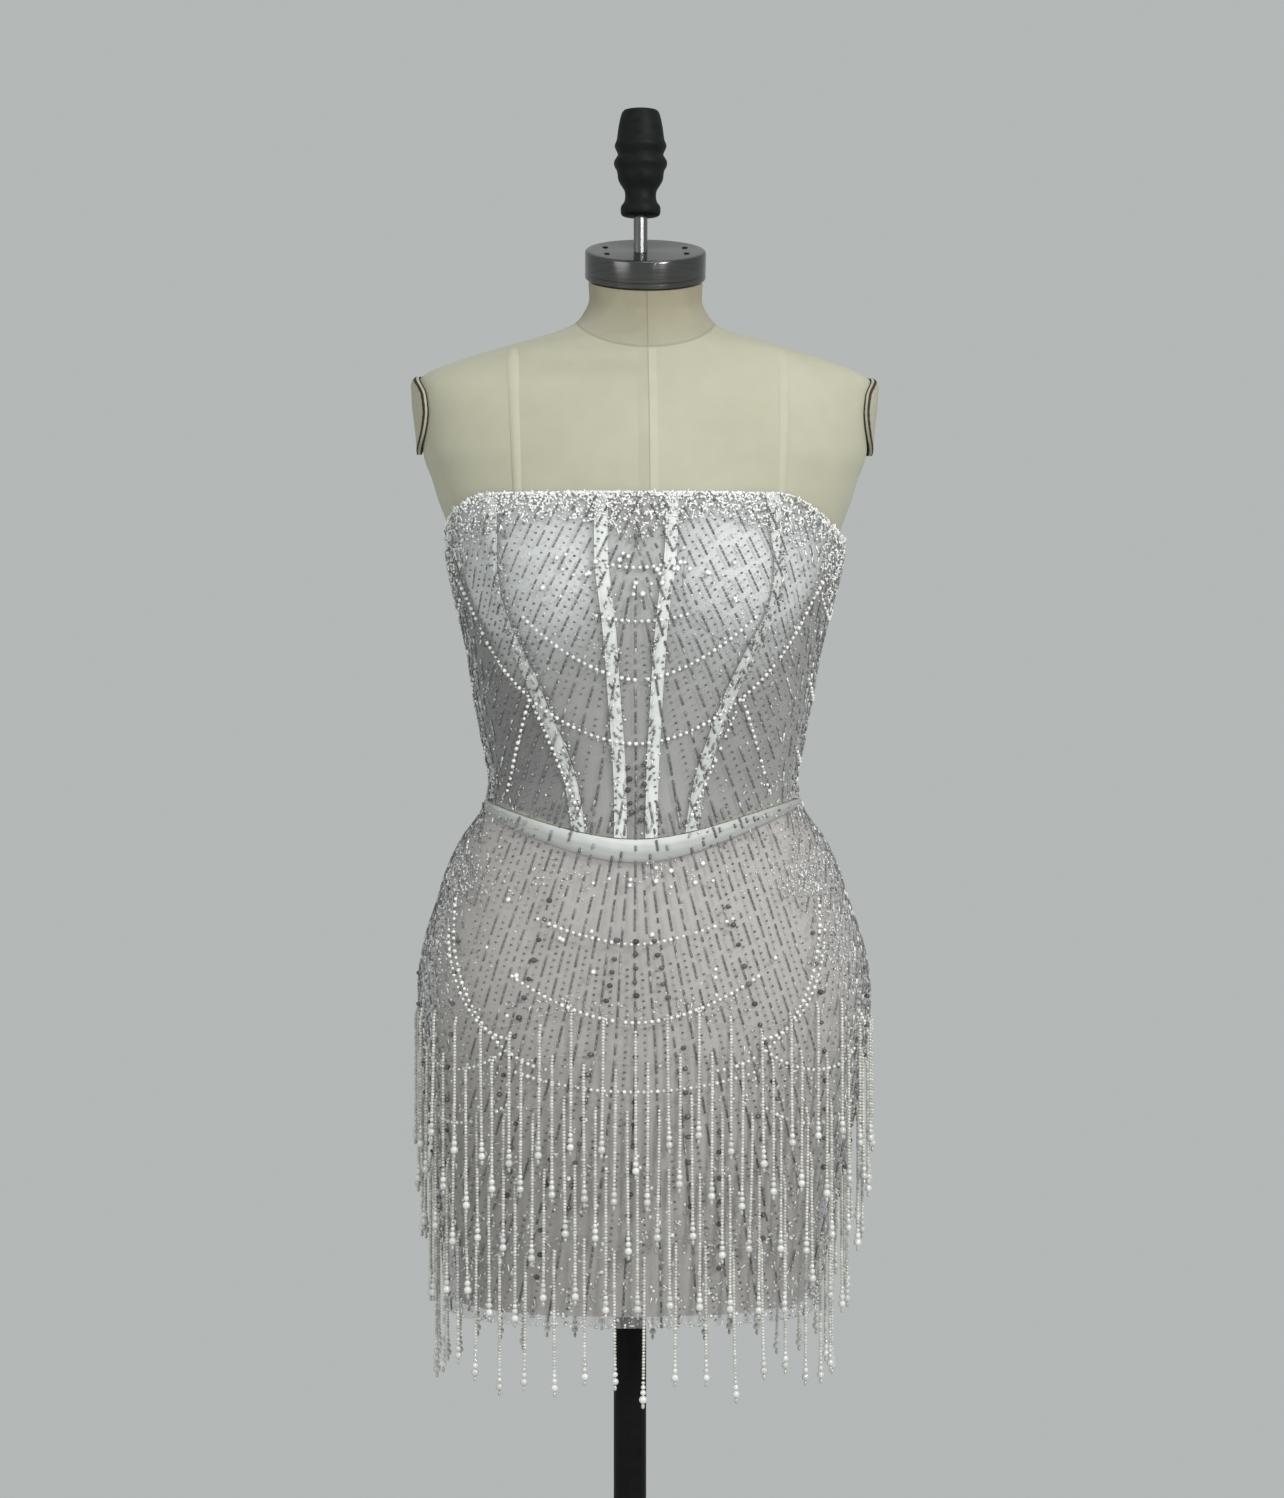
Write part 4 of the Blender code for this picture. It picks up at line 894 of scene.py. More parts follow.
def buildBand():
    # the waist band: a soft roll of satin with shallow lengthwise gathers, its tint lighter toward the upper edge as
    # painted light on the roll's upward face, and paler toward the centre front
    edge = math.pi - .0048 / .09
    local, share = np.meshgrid(np.linspace(-edge, edge, 241), np.linspace(0, 1, 15))
    z = waistLine(local) - panelCloth["waistGap"] - bandHeight(local) * (1 - share)
    gathers = .00022 * np.sin(share * 17 + 2.2 * np.sin(local * 3.1)) + .00018 * np.sin(local * 41 + share * 5)
    along = lengthAt(local, z)
    outer = cloth(local, z, .0005 + (band["proud"] + gathers) * bandRoll(share), along)
    # tint: painted light rising toward the upper edge, and paler toward the centre front where the band is deepest
    middle = .22 + .78 * np.maximum(np.cos(local), 0) ** 1.3
    piece = clothPiece("satin_band", outer, cloth(local, z, band["under"], along), finishes["bandSatin"],
                       ("waist_band",), np.stack([along, z], axis=-1), tint=share ** .9 * middle)


buildSkirtLinings()
buildBodiceLining()
buildPanels()
buildCups()
buildBones()
buildBand()
print("cloth done")


# Beads: a small shape is worked out once, then set at every place of an array

def outward(points, faces):
    # turns each triangle of a convex shape so that its normal points away from the middle
    corner = points[faces]
    normal = np.cross(corner[:, 1] - corner[:, 0], corner[:, 2] - corner[:, 0])
    wrong = (normal * corner.mean(axis=1)).sum(axis=1) < 0
    return points, np.where(wrong[:, None], faces[:, ::-1], faces)


def beadShape(sides, along, radius, pole):
    # rings of points round the thread's axis, closed by a point at each end, as triangles
    turn = np.arange(sides) * 2 * math.pi / sides
    rings = np.stack([np.outer(along, np.ones(sides)), np.outer(radius, np.cos(turn)),
                      np.outer(radius, np.sin(turn))], axis=-1)
    points = np.concatenate([rings.reshape(-1, 3), [[-pole, 0, 0], [pole, 0, 0]]])
    quads = gridFaces(len(along), sides, True)
    return outward(points, np.concatenate([quads[:, [0, 1, 2]], quads[:, [0, 2, 3]],
                                           endFans(len(along) * sides, sides)]))


def ballShape(sides, rings):
    # evenly turned rings of a ball, whose poles lie on the thread's axis
    angle = math.pi * np.arange(1, rings + 1) / (rings + 1)
    return beadShape(sides, -np.cos(angle), np.sin(angle), 1)


def sequinShape():
    # a flat six-sided disc with a raised middle and a shallow back
    turn = np.arange(6) * math.pi / 3
    rim = np.stack([np.cos(turn), np.sin(turn), np.zeros(6)], axis=-1)
    a, b = np.arange(6), np.roll(np.arange(6), -1)
    faces = np.concatenate([np.stack([np.full(6, 6), a, b], 1), np.stack([np.full(6, 7), b, a], 1)])
    return outward(np.concatenate([rim, [[0, 0, .9], [0, 0, -.4]]]), faces)


shapes = {"seed": ballShape(5, 2), "dot": ballShape(4, 2), "pearl": ballShape(8, 3), "fine": ballShape(10, 4),
          "bugle": beadShape(4, (-1, 1), (1, 1), 1.02), "sequin": sequinShape()}


def placesOn(along, z, way, out):
    # a point on the cloth and three axes there: along the thread, across it and outwards
    e = 4e-4
    spot = cloth(angleAt(along, z), z, out, along)
    right = cloth(angleAt(along + e, z), z, out, along + e) - cloth(angleAt(along - e, z), z, out, along - e)
    up = cloth(angleAt(along, z + e), z + e, out, along) - cloth(angleAt(along, z - e), z - e, out, along)
    normal = np.cross(right, up)
    normal /= np.linalg.norm(normal, axis=1, keepdims=True)
    thread = right * np.asarray(way[0])[..., None] + up * np.asarray(way[1])[..., None]
    thread /= np.linalg.norm(thread, axis=1, keepdims=True)
    return spot, thread, np.cross(normal, thread), normal


def setShapes(tray, shape, places, sizes, tint):
    # every vertex of the shape at every place: middle + axes times the shape's own numbers
    verts, faces = shapes[shape]
    spot, *axes = places
    count = len(spot)
    points = np.repeat(spot[:, None, :], len(verts), axis=1)
    for i in range(3):
        half = np.broadcast_to(sizes[i], (count,))[:, None, None]
        points = points + half * verts[None, :, i:i + 1] * axes[i][:, None, :]
    everyFace = faces[None] + (np.arange(count) * len(verts))[:, None, None]
    tints = np.repeat(np.broadcast_to(tint, (count,)), len(verts))
    tray.append((points.reshape(-1, 3), everyFace.reshape(-1, 3), tints))


def joinBeads(name, tray, finish, replaces=()):
    # all that a tray holds, as one mesh
    points, faces, tints = zip(*tray)
    starts = np.cumsum([0] + [len(part) for part in points[:-1]])
    faces = np.concatenate([part + start for part, start in zip(faces, starts)])
    mesh = meshFrom(name, np.concatenate(points), faces, tint=np.concatenate(tints))
    print(name, len(mesh.polygons), "triangles")
    addPiece(name, mesh, finishes[finish], "form", replaces)


beading = {"pitch": .0135, "dashPitch": .0205, "dotPitch": .0052, "dotHalf": .00116, "bugleHalf": .00082,
           "bugleLength": .0041, "bugleGap": .0002, "boneHalf": .0050, "boneRise": .0012, "pearlPitch": .0050,
           "pearlHalf": .00155, "greyHalf": .0025}


def inPanel(along, z, edge=.0015):
    # between the hem and the top edge, and clear of the waist seam and the zip
    local = angleAt(along, z)
    waist = waistLine(local)
    bodice = (z > waist + edge) & (z < topEdge(local) - edge)
    skirt = (z < waist - edge) & (z > cut["hem"] + .002)
    return (bodice | skirt) & (np.abs(np.abs(wrapped(local)) - math.pi) * .1 > .006)


def onBone(along, z):
    # how far out a bead must sit to lie on a bone or on the band's roll rather than on the net
    angle = angleAt(along, z)
    local = np.abs(wrapped(angle))
    near = np.minimum(np.abs(local - princess(z)), np.abs(local - centreBone(z))) * reach(local, z)
    rise = np.where((near < beading["boneHalf"]) & (z > waistLine(local)), beading["boneRise"], 0.0)
    share = 1 - (waistLine(angle) - z) / bandHeight(angle)
    return rise + np.where((share > 0) & (share < 1), .0004 + .0021 * bandRoll(share), 0.0)


def sew(tray, shape, along, z, way, lift, sizes, tint):
    # a shape at each place on the net, or on the bone or band that lies there
    setShapes(tray, shape, placesOn(along, z, way, lift + onBone(along, z)), sizes, tint)


def atSides(along, z):
    # beads are lighter round the sides
    return .24 * easeIn(.80, 1.30, np.abs(wrapped(angleAt(along, z))))


def sparse(draw, along, z, share):
    # most beads stay; over the band fewer do
    angle = angleAt(along, z)
    onBand = (z < waistLine(angle)) & (z > waistLine(angle) - bandHeight(angle))
    return draw.uniform(0, 1, len(z)) < np.where(onBand, .45, share)


def lengthTo(degrees, z):
    # length along the cloth from the centre front to an angle of the dress
    z = np.asarray(z, float)
    return lengthAt(np.full(z.shape, math.radians(degrees)), z)


def fanPlace(part, turn, edge, z):
    # a fan's middle and half span along the cloth: the front one ends at an angle, the rest share what is left
    quarter = lengthTo(90, z)
    front = lengthTo(edge, z) - .001
    side = quarter - front - .002
    if part == "front":
        return 0 * front, front
    if part == "side":
        return turn * quarter, side
    return lengthTo(180, z), np.maximum(lengthTo(180, z) - quarter - side - .002, .02)


def fanLines(place, low, high, lean, softness, level):
    # threads of a fan: each passes its own mark at the level and leans away from the fan's middle
    # by lean times tanh(mark / softness); closer threads start only where they have room
    half = beading["pitch"] / 2
    z = np.arange(low, high, .0015)
    marks = np.arange(-200, 201) * half
    marks = marks[np.abs(marks) < fanPlace(*place, level)[1] + .12]
    slope = lean * np.tanh(marks / softness)
    spread = 1 + lean / softness / np.cosh(marks / softness)**2 * (level - z[:, None])
    offset = marks + slope * (level - z[:, None])
    number = np.rint(marks / half).astype(int)
    stride = np.where(number % 2 != 0, 1, np.where(number % 4 != 0, 2, 4))
    shown = (half * spread * stride > .0056) & (np.abs(offset) < fanPlace(*place, z)[1][:, None])
    return z, slope, number, shown


def sewDashes(tray, draw, along, z, lean):
    # four short tubes in a row along the thread
    half, long = beading["bugleHalf"], beading["bugleLength"]
    for place in (-1.5, -.5, .5, 1.5):
        up = place * (long + beading["bugleGap"])
        a, level = along - lean * up, z + up
        ok = inPanel(a, level) & sparse(draw, a, level, .95)
        a, level, count = a[ok], level[ok], ok.sum()
        way = (lean[ok] + draw.normal(0, .03, count), -np.ones(count))
        sew(tray, "bugle", a, level, way, half + .0002, (long / 2, half, half),
            draw.beta(1.7, 3.6, count) + atSides(a, level))


def sewDots(tray, draw, along, z, lean):
    # single small beads
    ok = inPanel(along, z) & sparse(draw, along, z, .96)
    count = ok.sum()
    a, level = along[ok] + draw.normal(0, .0002, count), z[ok] + draw.normal(0, .0003, count)
    size = beading["dotHalf"] * draw.uniform(.85, 1.12, count)
    sew(tray, "dot", a, level, (lean[ok], -np.ones(count)), beading["dotHalf"] * .8, (size * .8, size, size),
        draw.beta(1.3, 2.6, count) + atSides(a, level))


def beadFan(tray, place, low, high, lean, softness, level, seed):
    # every other thread carries dashes and the rest carry dots, each thread shifted by its own share
    z, slope, number, shown = fanLines(place, low, high, lean, softness, level)
    draw = np.random.default_rng(seed)
    for odd, pitch, sewLine in ((0, beading["dashPitch"], sewDashes), (1, beading["dotPitch"], sewDots)):
        lines = np.where(number % 2 == odd)[0]
        steps = np.arange(int((high - low) / pitch) + 2)[:, None]
        places = low + (steps + draw.uniform(0, 1, len(lines))) * pitch
        index = np.clip(((places - low) / (z[1] - z[0])).astype(int), 0, len(z) - 1)
        column = np.broadcast_to(lines, places.shape)
        keep = shown[index, column] & (places < high)
        at2, mark = places[keep], column[keep]
        along = fanPlace(*place, at2)[0] + number[mark] * beading["pitch"] / 2 + slope[mark] * (level - at2)
        sewLine(tray, draw, along, at2, slope[mark])


fanRows = {
    # part, side, edge in degrees, low, high, lean, softness, level of the marks, seed
    "skirt_beads_front": (("front", 0, 62, .688, 1.090, .38, .075, .930, 3),),
    "skirt_beads_back": (("side", 1, 62, .688, 1.090, .30, .030, .930, 12),
                         ("side", -1, 62, .688, 1.090, .30, .030, .930, 10),
                         ("back", 0, 62, .688, 1.090, .38, .075, .930, 5)),
    "bodice_beads_front": (("front", 0, 66, 1.060, 1.325, .50, .040, 1.200, 11),),
    "bodice_beads_back": (("side", 1, 66, 1.060, 1.325, .22, .030, 1.200, 16),
                          ("side", -1, 66, 1.060, 1.325, .22, .030, 1.200, 8),
                          ("back", 0, 66, 1.060, 1.325, .33, .030, 1.200, 21))}

for name, rows in fanRows.items():
    tray = []
    for row in rows:
        beadFan(tray, row[:3], *row[3:])
    joinBeads(name, tray, "silverThread")
print("threads of beads done")


# Pearl arcs: each is a line on the flat cloth, worked out from a few sizes
def arcPoints(shape, centre, bottom, half, rise, start, end, power):
    # shape "bowl": level = bottom + rise |u| to a power; "leg": a straight line; "hip": a quarter oval
    u = np.linspace(start, end, 400)
    if shape == "bowl":
        return centre + half * u, bottom + rise * np.abs(u) ** power
    if shape == "leg":
        return centre + half * u, bottom + rise * u
    turn = u * math.pi / 2
    return centre - half * np.cos(turn), bottom - rise * np.sin(turn)


arcRows = (
    # shape, centre, bottom, half, rise, start, end, power, both sides
    ("bowl", 0, 1.137, .168, .128, -1, 1, 1.85, False),
    ("bowl", .002, 1.186, .088, .046, -1.05, 1.05, 1.7, False),
    ("bowl", .002, 1.231, .040, .006, -1, 1, 2, False),
    ("bowl", 0, 1.272, .026, .004, -1, 1, 2, False),
    ("leg", .112, 1.098, -.028, .075, 0, 1, 1, True),
    ("leg", .042, 1.080, .042, .093, 0, 1, 1, True),
    ("bowl", .205, 1.236, .034, .016, -1, 1, 2, True),
    ("bowl", .192, 1.172, .034, .018, -1, 1, 2, True),
    ("bowl", .180, 1.120, .034, .016, -1, 1, 2, True),
    ("bowl", .330, 1.150, .120, .095, -1, 1, 1.9, True),
    ("bowl", .330, 1.205, .070, .050, -1, 1, 1.9, True),
    ("bowl", 0, .983, .078, .020, -1, 1, 1.6, False),
    ("bowl", 0, .9235, .098, .036, -1, 1, 1.8, False),
    ("bowl", 0, .8705, .100, .016, -1, 1, 2, False),
    ("hip", -.056, 1.018, .098, .132, 0, 1, 1, True),
    ("hip", -.098, 1.020, .062, .110, .15, 1, 1, True),
    ("bowl", .150, .884, .050, .018, -1, 1, 2, True),
    ("bowl", .150, .842, .052, .018, -1, 1, 2, True),
    ("bowl", .250, .905, .052, .024, -1, 1, 2, True),
    ("bowl", .352, .905, .050, .026, -1, 1, 2, True),
    ("bowl", .452, .903, .050, .026, -1, 1, 2, True),
    ("bowl", .352, .985, .092, .060, -1, 1, 1.8, True))


def pearlArcs():
    # pearls at an even pitch along each line, and now and then a dot beside one
    draw, tray = np.random.default_rng(31), []
    for *sizes, both in arcRows:
        for turn in ((1, -1) if both else (1,)):
            along, z = arcPoints(*sizes)
            along = along * turn
            length = np.concatenate([[0], np.cumsum(np.hypot(np.diff(along), np.diff(z)))])
            count = int(length[-1] / beading["pearlPitch"])
            wanted = (np.arange(count) + .5) * length[-1] / count
            line = np.array([np.interp(wanted, length, along), np.interp(wanted, length, z)])
            way = np.gradient(line, axis=1)
            ok = inPanel(*line, .001) & (draw.uniform(0, 1, count) < .96)
            size = (beading["pearlHalf"] * draw.uniform(.82, 1.16, count))[ok]
            line, way = line[:, ok], way[:, ok]
            sew(tray, "pearl", *line, way, size * .85, (size, size, size), draw.uniform(.75, 1, len(size)))
            off = draw.choice([-1, 1], len(size)) * .0026
            pick = draw.uniform(0, 1, len(size)) < .35
            (a, level), off = line[:, pick], off[pick]
            places = placesOn(a, level + off, way[:, pick], .0008 + onBone(a, level))
            setShapes(tray, "dot", places, (.0008, .0009, .0008), draw.uniform(.1, .8, len(a)))
    joinBeads("pearl_arcs", tray, "pearls")


looseRows = (
    # shape, share of the places, size, length, width, depth, lift
    ("dot", .50, 1.05, 1, 1, 1, .8), ("sequin", .32, 1.5, 1, 1, .35, .28), ("bugle", .18, 1.0, 2.2, .55, .55, .8))


def scatter(tray, draw, along, z, half, tint):
    # loose beads and sequins: the same places dealt out between the shapes
    kind = draw.uniform(0, 1, len(along))
    dealt = 0.0
    for shape, share, size, long, wide, deep, lift in looseRows:
        pick = (kind >= dealt) & (kind < dealt + share)
        dealt += share
        turn = draw.uniform(0, 2 * math.pi, pick.sum())
        grow = size * half * draw.uniform(.75, 1.2, pick.sum())
        sew(tray, shape, along[pick], z[pick], (np.cos(turn), np.sin(turn)), grow * lift,
            (grow * long, grow * wide, grow * deep), tint(pick.sum()))


clusterRows = (
    # count, centre, level, halfAlong, halfUp, size
    (260, .150, 1.035, .034, .024, .00085), (210, .170, .985, .024, .050, .00085),
    (60, .060, 1.035, .060, .016, .0008), (110, .190, .930, .018, .060, .00085),
    (70, .060, 1.240, .050, .040, .0008), (60, .110, 1.210, .045, .060, .0008),
    (60, .130, 1.100, .050, .018, .00085), (110, .250, 1.040, .060, .026, .0009),
    (110, .380, 1.045, .070, .022, .0009), (90, .300, 1.240, .080, .060, .00085),
    (70, .100, .880, .060, .020, .0009), (60, .055, .935, .045, .010, .0009),
    (90, .080, .780, .090, .050, .0009), (330, .150, .795, .200, .085, .0010))
loose = {"edgeCount": 5000, "hemCount": 1700, "half": .0010, "hemHeight": .085}


def edgeDepth(aside):
    # how far the dense beading hangs from the top edge: deeper toward the sides and at the centre front
    sides = .010 * easeIn(math.radians(35), math.radians(62), aside)
    return .016 + sides + .020 * np.exp(-((aside - math.radians(82)) / .25)**2) + .012 * np.exp(-(aside / .22)**2)


def beadClusters():
    # dense loose beading: along the top edge, then in clusters on both sides, then along the hem
    draw, tray = np.random.default_rng(44), []
    along = draw.uniform(-.44, .44, loose["edgeCount"])
    local = angleAt(along, np.full(len(along), 1.31))
    down = draw.uniform(0, 1, len(along)) ** 1.9 * edgeDepth(np.abs(wrapped(local))) * 1.35
    z = topEdge(local) - .0008 - down
    ok = (np.abs(np.abs(local) - math.pi) > .07) & (np.abs(local) < math.pi - .05)
    scatter(tray, draw, along[ok], z[ok], loose["half"], lambda n: .12 + .88 * draw.beta(2.2, 1.0, n))
    joinBeads("edge_beads", tray, "sparkle")
    tray = []
    for count, centre, level, halfAlong, halfUp, size in clusterRows:
        for turn in (1, -1):
            along = turn * (centre + draw.normal(0, .55, count) * halfAlong)
            z = level + draw.normal(0, .55, count) * halfUp
            ok = inPanel(along, z)
            scatter(tray, draw, along[ok], z[ok], size, lambda n: draw.beta(1.1, 1.4, n))
    joinBeads("scattered_beads", tray, "sparkle")
    tray = []
    along = draw.uniform(-.45, .45, loose["hemCount"])
    z = cut["hem"] + .001 + draw.uniform(0, 1, len(along)) ** 2 * loose["hemHeight"]
    ok = np.abs(np.abs(angleAt(along, z)) - math.pi) > .05
    scatter(tray, draw, along[ok], z[ok], loose["half"], lambda n: draw.beta(2, 1.6, n))
    joinBeads("hem_beads", tray, "sparkle")


boneBeads = {"low": 1.066, "high": 1.318, "pitch": .0044, "half": .0008, "dotHalf": .0011}


def beadBones():
    # short leaning tube beads across the four bones, and dots along their edges
    draw, tray = np.random.default_rng(38), []
    half, dotHalf = boneBeads["half"], boneBeads["dotHalf"]
    for line, share, count in ((centreBone, .55, 70), (princess, .9, 150)):
        for turn in (1, -1):
            z = np.arange(boneBeads["low"], boneBeads["high"], boneBeads["pitch"])
            z = z + draw.normal(0, .0007, len(z))
            along = turn * lengthAt(line(z), z) + draw.uniform(-.0036, .0036, len(z))
            ok = inPanel(along, z) & (draw.uniform(0, 1, len(z)) < share)
            way = (turn * draw.normal(.55, .22, ok.sum()), np.ones(ok.sum()))
            sew(tray, "bugle", along[ok], z[ok], way, half, (beading["bugleLength"] * .55, half, half),
                draw.beta(2.0, 1.3, ok.sum()))
            z = draw.uniform(boneBeads["low"], boneBeads["high"], count)
            along = turn * lengthAt(line(z), z) + draw.choice([-1, 1], count) * draw.normal(.0046, .0012, count)
            ok = inPanel(along, z)
            sew(tray, "dot", along[ok], z[ok], (np.ones(ok.sum()), np.zeros(ok.sum())), half,
                (dotHalf, dotHalf, dotHalf), draw.beta(3.0, 1.4, ok.sum()))
    joinBeads("bone_beads", tray, "silverThread")


glintRows = (
    # count, centre, level, halfAlong, halfUp
    (26, .004, 1.268, .040, .024), (10, .060, 1.262, .030, .020), (12, .020, 1.030, .060, .012),
    (12, .050, .960, .090, .030), (14, .000, .800, .110, .050), (16, .300, 1.180, .120, .080))


def glints():
    # large sequins tinted near white as painted glints, which also catch the lamps' light, mostly high on the bodice
    draw, tray = np.random.default_rng(81), []
    for count, centre, level, halfAlong, halfUp in glintRows:
        for turn in (1, -1):
            along = turn * centre + draw.normal(0, .6, count // 2) * halfAlong
            z = level + draw.normal(0, .6, count // 2) * halfUp
            ok = inPanel(along, z)
            spin = draw.uniform(0, math.pi, ok.sum())
            size = draw.uniform(.0017, .0027, ok.sum())
            sew(tray, "sequin", along[ok], z[ok], (np.cos(spin), np.sin(spin)), .0014, (size, size, size * .3), 1.0)
    joinBeads("glint_sequins", tray, "sparkle")


greyRows = (
    # along, top, bottom, pitch, lean away from the middle
    (.0006, .986, .935, .0105, 0), (-.0130, .984, .937, .0108, .20), (.0150, .986, .938, .0108, -.20),
    (-.066, 1.016, .862, .0150, .27), (.072, 1.012, .858, .0150, -.27), (-.006, 1.118, 1.078, .0085, -.05),
    (.006, 1.122, 1.074, .0085, .05), (.0006, .915, .740, .0175, 0), (-.034, .900, .760, .0170, .10),
    (.036, .905, .755, .0175, -.10), (-.062, .835, .725, .0180, .06), (.066, .840, .720, .0180, -.06),
    (-.092, .845, .750, .0190, .10), (.098, .850, .745, .0190, -.10), (.145, .990, .800, .0230, -.10),
    (-.145, .985, .800, .0250, .10), (.215, .960, .760, .0230, -.05), (-.215, .955, .760, .0240, .05),
    (.300, 1.000, .740, .0210, -.10), (-.300, 1.000, .740, .0215, .10), (.400, 1.010, .740, .0200, .10),
    (-.400, 1.010, .740, .0205, -.10))


def greyBeads():
    # the large dark faceted beads, in short columns down the middle and along the fans' threads
    draw, tray = np.random.default_rng(52), []
    for centre, top, bottom, pitch, lean in greyRows:
        z = np.arange(top, bottom, -pitch)
        z = z + draw.normal(0, .0008, len(z))
        along = centre - lean * (top - z) + draw.normal(0, .0006, len(z))
        ok = inPanel(along, z)
        size = beading["greyHalf"] * draw.uniform(.82, 1.12, ok.sum())
        places = placesOn(along[ok], z[ok], (-lean * np.ones(ok.sum()), -np.ones(ok.sum())), size * .8)
        setShapes(tray, "pearl", places, (size * .86, size, size), draw.uniform(0, 1, ok.sum()))
    joinBeads("grey_beads", tray, "smoke")


pearlArcs()
beadClusters()
beadBones()
glints()
greyBeads()
print("arcs, clusters and grey beads done")


# Fringe: five tiers of bead strands, each ending in graded pearls and a drop
tierRows = (
    # level, swag, phase, length
    (.932, .0140, 0.0, .107), (.897, .0070, .4, .110), (.861, .0090, .8, .111), (.813, .0090, .2, .109),
    (.754, .0070, .6, .109))
fringe = {"strands": 40, "scallops": 8, "standoff": .0043, "shoulder": .0070, "seedPitch": .0024,
          "seedHalf": .00158, "sway": .0050, "pearlHalf": (.0015, .0019, .0024, .0031), "dropHalf": .0018,
          "fall": 1.6, "overlap": .97, "rootRise": .0015, "rootOut": .0021, "longest": .125, "stripSides": 160,
          "shorter": .008, "longer": .0052}
stripRows = (
    # up, out: the strip's four corners
    (.0004, .0004), (.0030, .0004), (.0030, .0007), (.0004, .0009))


def equalSteps(count, phase):
    # angles that part the hip into equal lengths of cloth
    fine = np.linspace(0, 2 * math.pi, 721)
    line = ring(fine + cut["turn"], np.full_like(fine, .915))
    lengths = np.concatenate([[0], np.cumsum(np.linalg.norm(np.diff(line, axis=0), axis=1))])
    return np.interp((np.arange(count) + phase) / count * lengths[-1], lengths, fine)


def tapeLine(local, level, swag):
    # scallops: the level less the swag times a squared cosine
    return level - swag * np.cos(fringe["scallops"] * local / 2) ** 2


def strandPath(root, hang, tip, drift, down):
    # a strand's middle at each distance down it: off the cloth over the shoulder, then hanging
    # straight, with a slow drift that grows to the tip
    share = easeIn(0, fringe["shoulder"], down)
    flat = root[:, None, :2] * (1 - share[..., None]) + hang[:, None, :] * share[..., None]
    fall = (down / (root[:, 2] - tip)[:, None]) ** fringe["fall"]
    flat = flat + drift[:, None, :] * fall[..., None]
    return np.concatenate([flat, (root[:, None, 2] - down)[..., None]], axis=-1)


def placesDown(strands, outward2, down, keep):
    # places on the strands' paths, with the thread's direction read a little further down
    here, ahead = strandPath(*strands, down), strandPath(*strands, down + .0006)
    thread = (ahead - here)[keep]
    thread /= np.linalg.norm(thread, axis=1, keepdims=True)
    out3 = np.concatenate([outward2, np.zeros((len(outward2), 1))], axis=1)
    across = np.cross(np.broadcast_to(out3[:, None, :], here.shape)[keep], thread)
    across /= np.linalg.norm(across, axis=1, keepdims=True)
    return here[keep], thread, across, np.cross(thread, across)


def tapeStrip(name, level, swag):
    # the narrow strip that the strands are sewn to: four corners carried round the skirt, in the net's cloth
    sides = fringe["stripSides"]
    turns = np.arange(sides) * 2 * math.pi / sides
    low = tapeLine(turns, level, swag)
    along = lengthAt(wrapped(turns), low)
    points = np.stack([cloth(turns, low + up, out, along) for up, out in stripRows])
    index = np.arange(4 * sides).reshape(4, sides)
    a, d = index, np.roll(index, -1, axis=0)
    b, c = np.roll(a, -1, axis=1), np.roll(d, -1, axis=1)
    quads = np.stack([a, d, c, b], axis=-1).reshape(-1, 4)
    points = points.reshape(-1, 3)
    mesh = meshFrom(name, points, np.concatenate([quads[:, [0, 1, 2]], quads[:, [0, 2, 3]]]), uv=points[:, ::2])
    addPiece(name, mesh, finishes["net"], "form")


def beadedTier(number, level, swag, phase, length):
    # roots at even steps on the strip; each strand's length sways round the tier and varies a little
    draw = np.random.default_rng(60 + number)
    count = fringe["strands"]
    local = equalSteps(count, phase)
    top = tapeLine(local, level, swag) + draw.uniform(-.0075, .0055, count)
    root = cloth(local, top + fringe["rootRise"], fringe["rootOut"], lengthAt(wrapped(local), top))
    hang = dress(local, top, fringe["standoff"])[:, :2]
    outward2 = (hang - dress(local, top, 0.0)[:, :2]) / fringe["standoff"]
    side2 = np.stack([-outward2[:, 1], outward2[:, 0]], axis=1)
    tall = length + fringe["sway"] * np.sin(2.4 * np.arange(count) * 30 / count + 1.7 * number)
    tall = tall + draw.normal(0, .0022, count)
    tip = top - np.clip(tall, length - fringe["shorter"], length + fringe["longer"])
    drift = side2 * draw.normal(0, .0012, count)[:, None] + outward2 * draw.uniform(-.0004, .0010, count)[:, None]
    strands, tray = (root, hang, tip, drift), []
    reachDown = root[:, 2] - tip
    pearlRun = 2 * sum(fringe["pearlHalf"]) * fringe["overlap"] + fringe["dropHalf"] * 2.4
    steps = np.arange(int(fringe["longest"] / fringe["seedPitch"]))
    down = np.broadcast_to(steps * fringe["seedPitch"] + .0006, (count, len(steps)))
    keep = down < (reachDown - pearlRun)[:, None]
    size = fringe["seedHalf"] * draw.uniform(.93, 1.05, keep.sum())
    setShapes(tray, "seed", placesDown(strands, outward2, down, keep), (size * .86, size, size),
              draw.uniform(0, 1, keep.sum()))
    joinBeads(f"strands_tier_{number}", tray, "threadBeads", (f"fringe_tier_{number}",))
    tapeStrip(f"strip_tier_{number}", level, swag)
    tray, start, every = [], reachDown - pearlRun, np.ones((count, 1), bool)
    for half in fringe["pearlHalf"]:
        start = start + half * fringe["overlap"]
        size = half * draw.uniform(.94, 1.05, count)
        setShapes(tray, "fine" if half > .002 else "pearl", placesDown(strands, outward2, start[:, None], every),
                  (size, size, size), draw.uniform(.35, .85, count))
        start = start + half * fringe["overlap"]
    half = fringe["dropHalf"]
    setShapes(tray, "pearl", placesDown(strands, outward2, start[:, None] + half * 1.1, every),
              (half * 1.25, half * .8, half * .8), draw.uniform(0, .35, count))
    joinBeads(f"pearls_tier_{number}", tray, "pearls")


for number, row in enumerate(tierRows, start=1):
    beadedTier(number, *row)
print("fringe done")

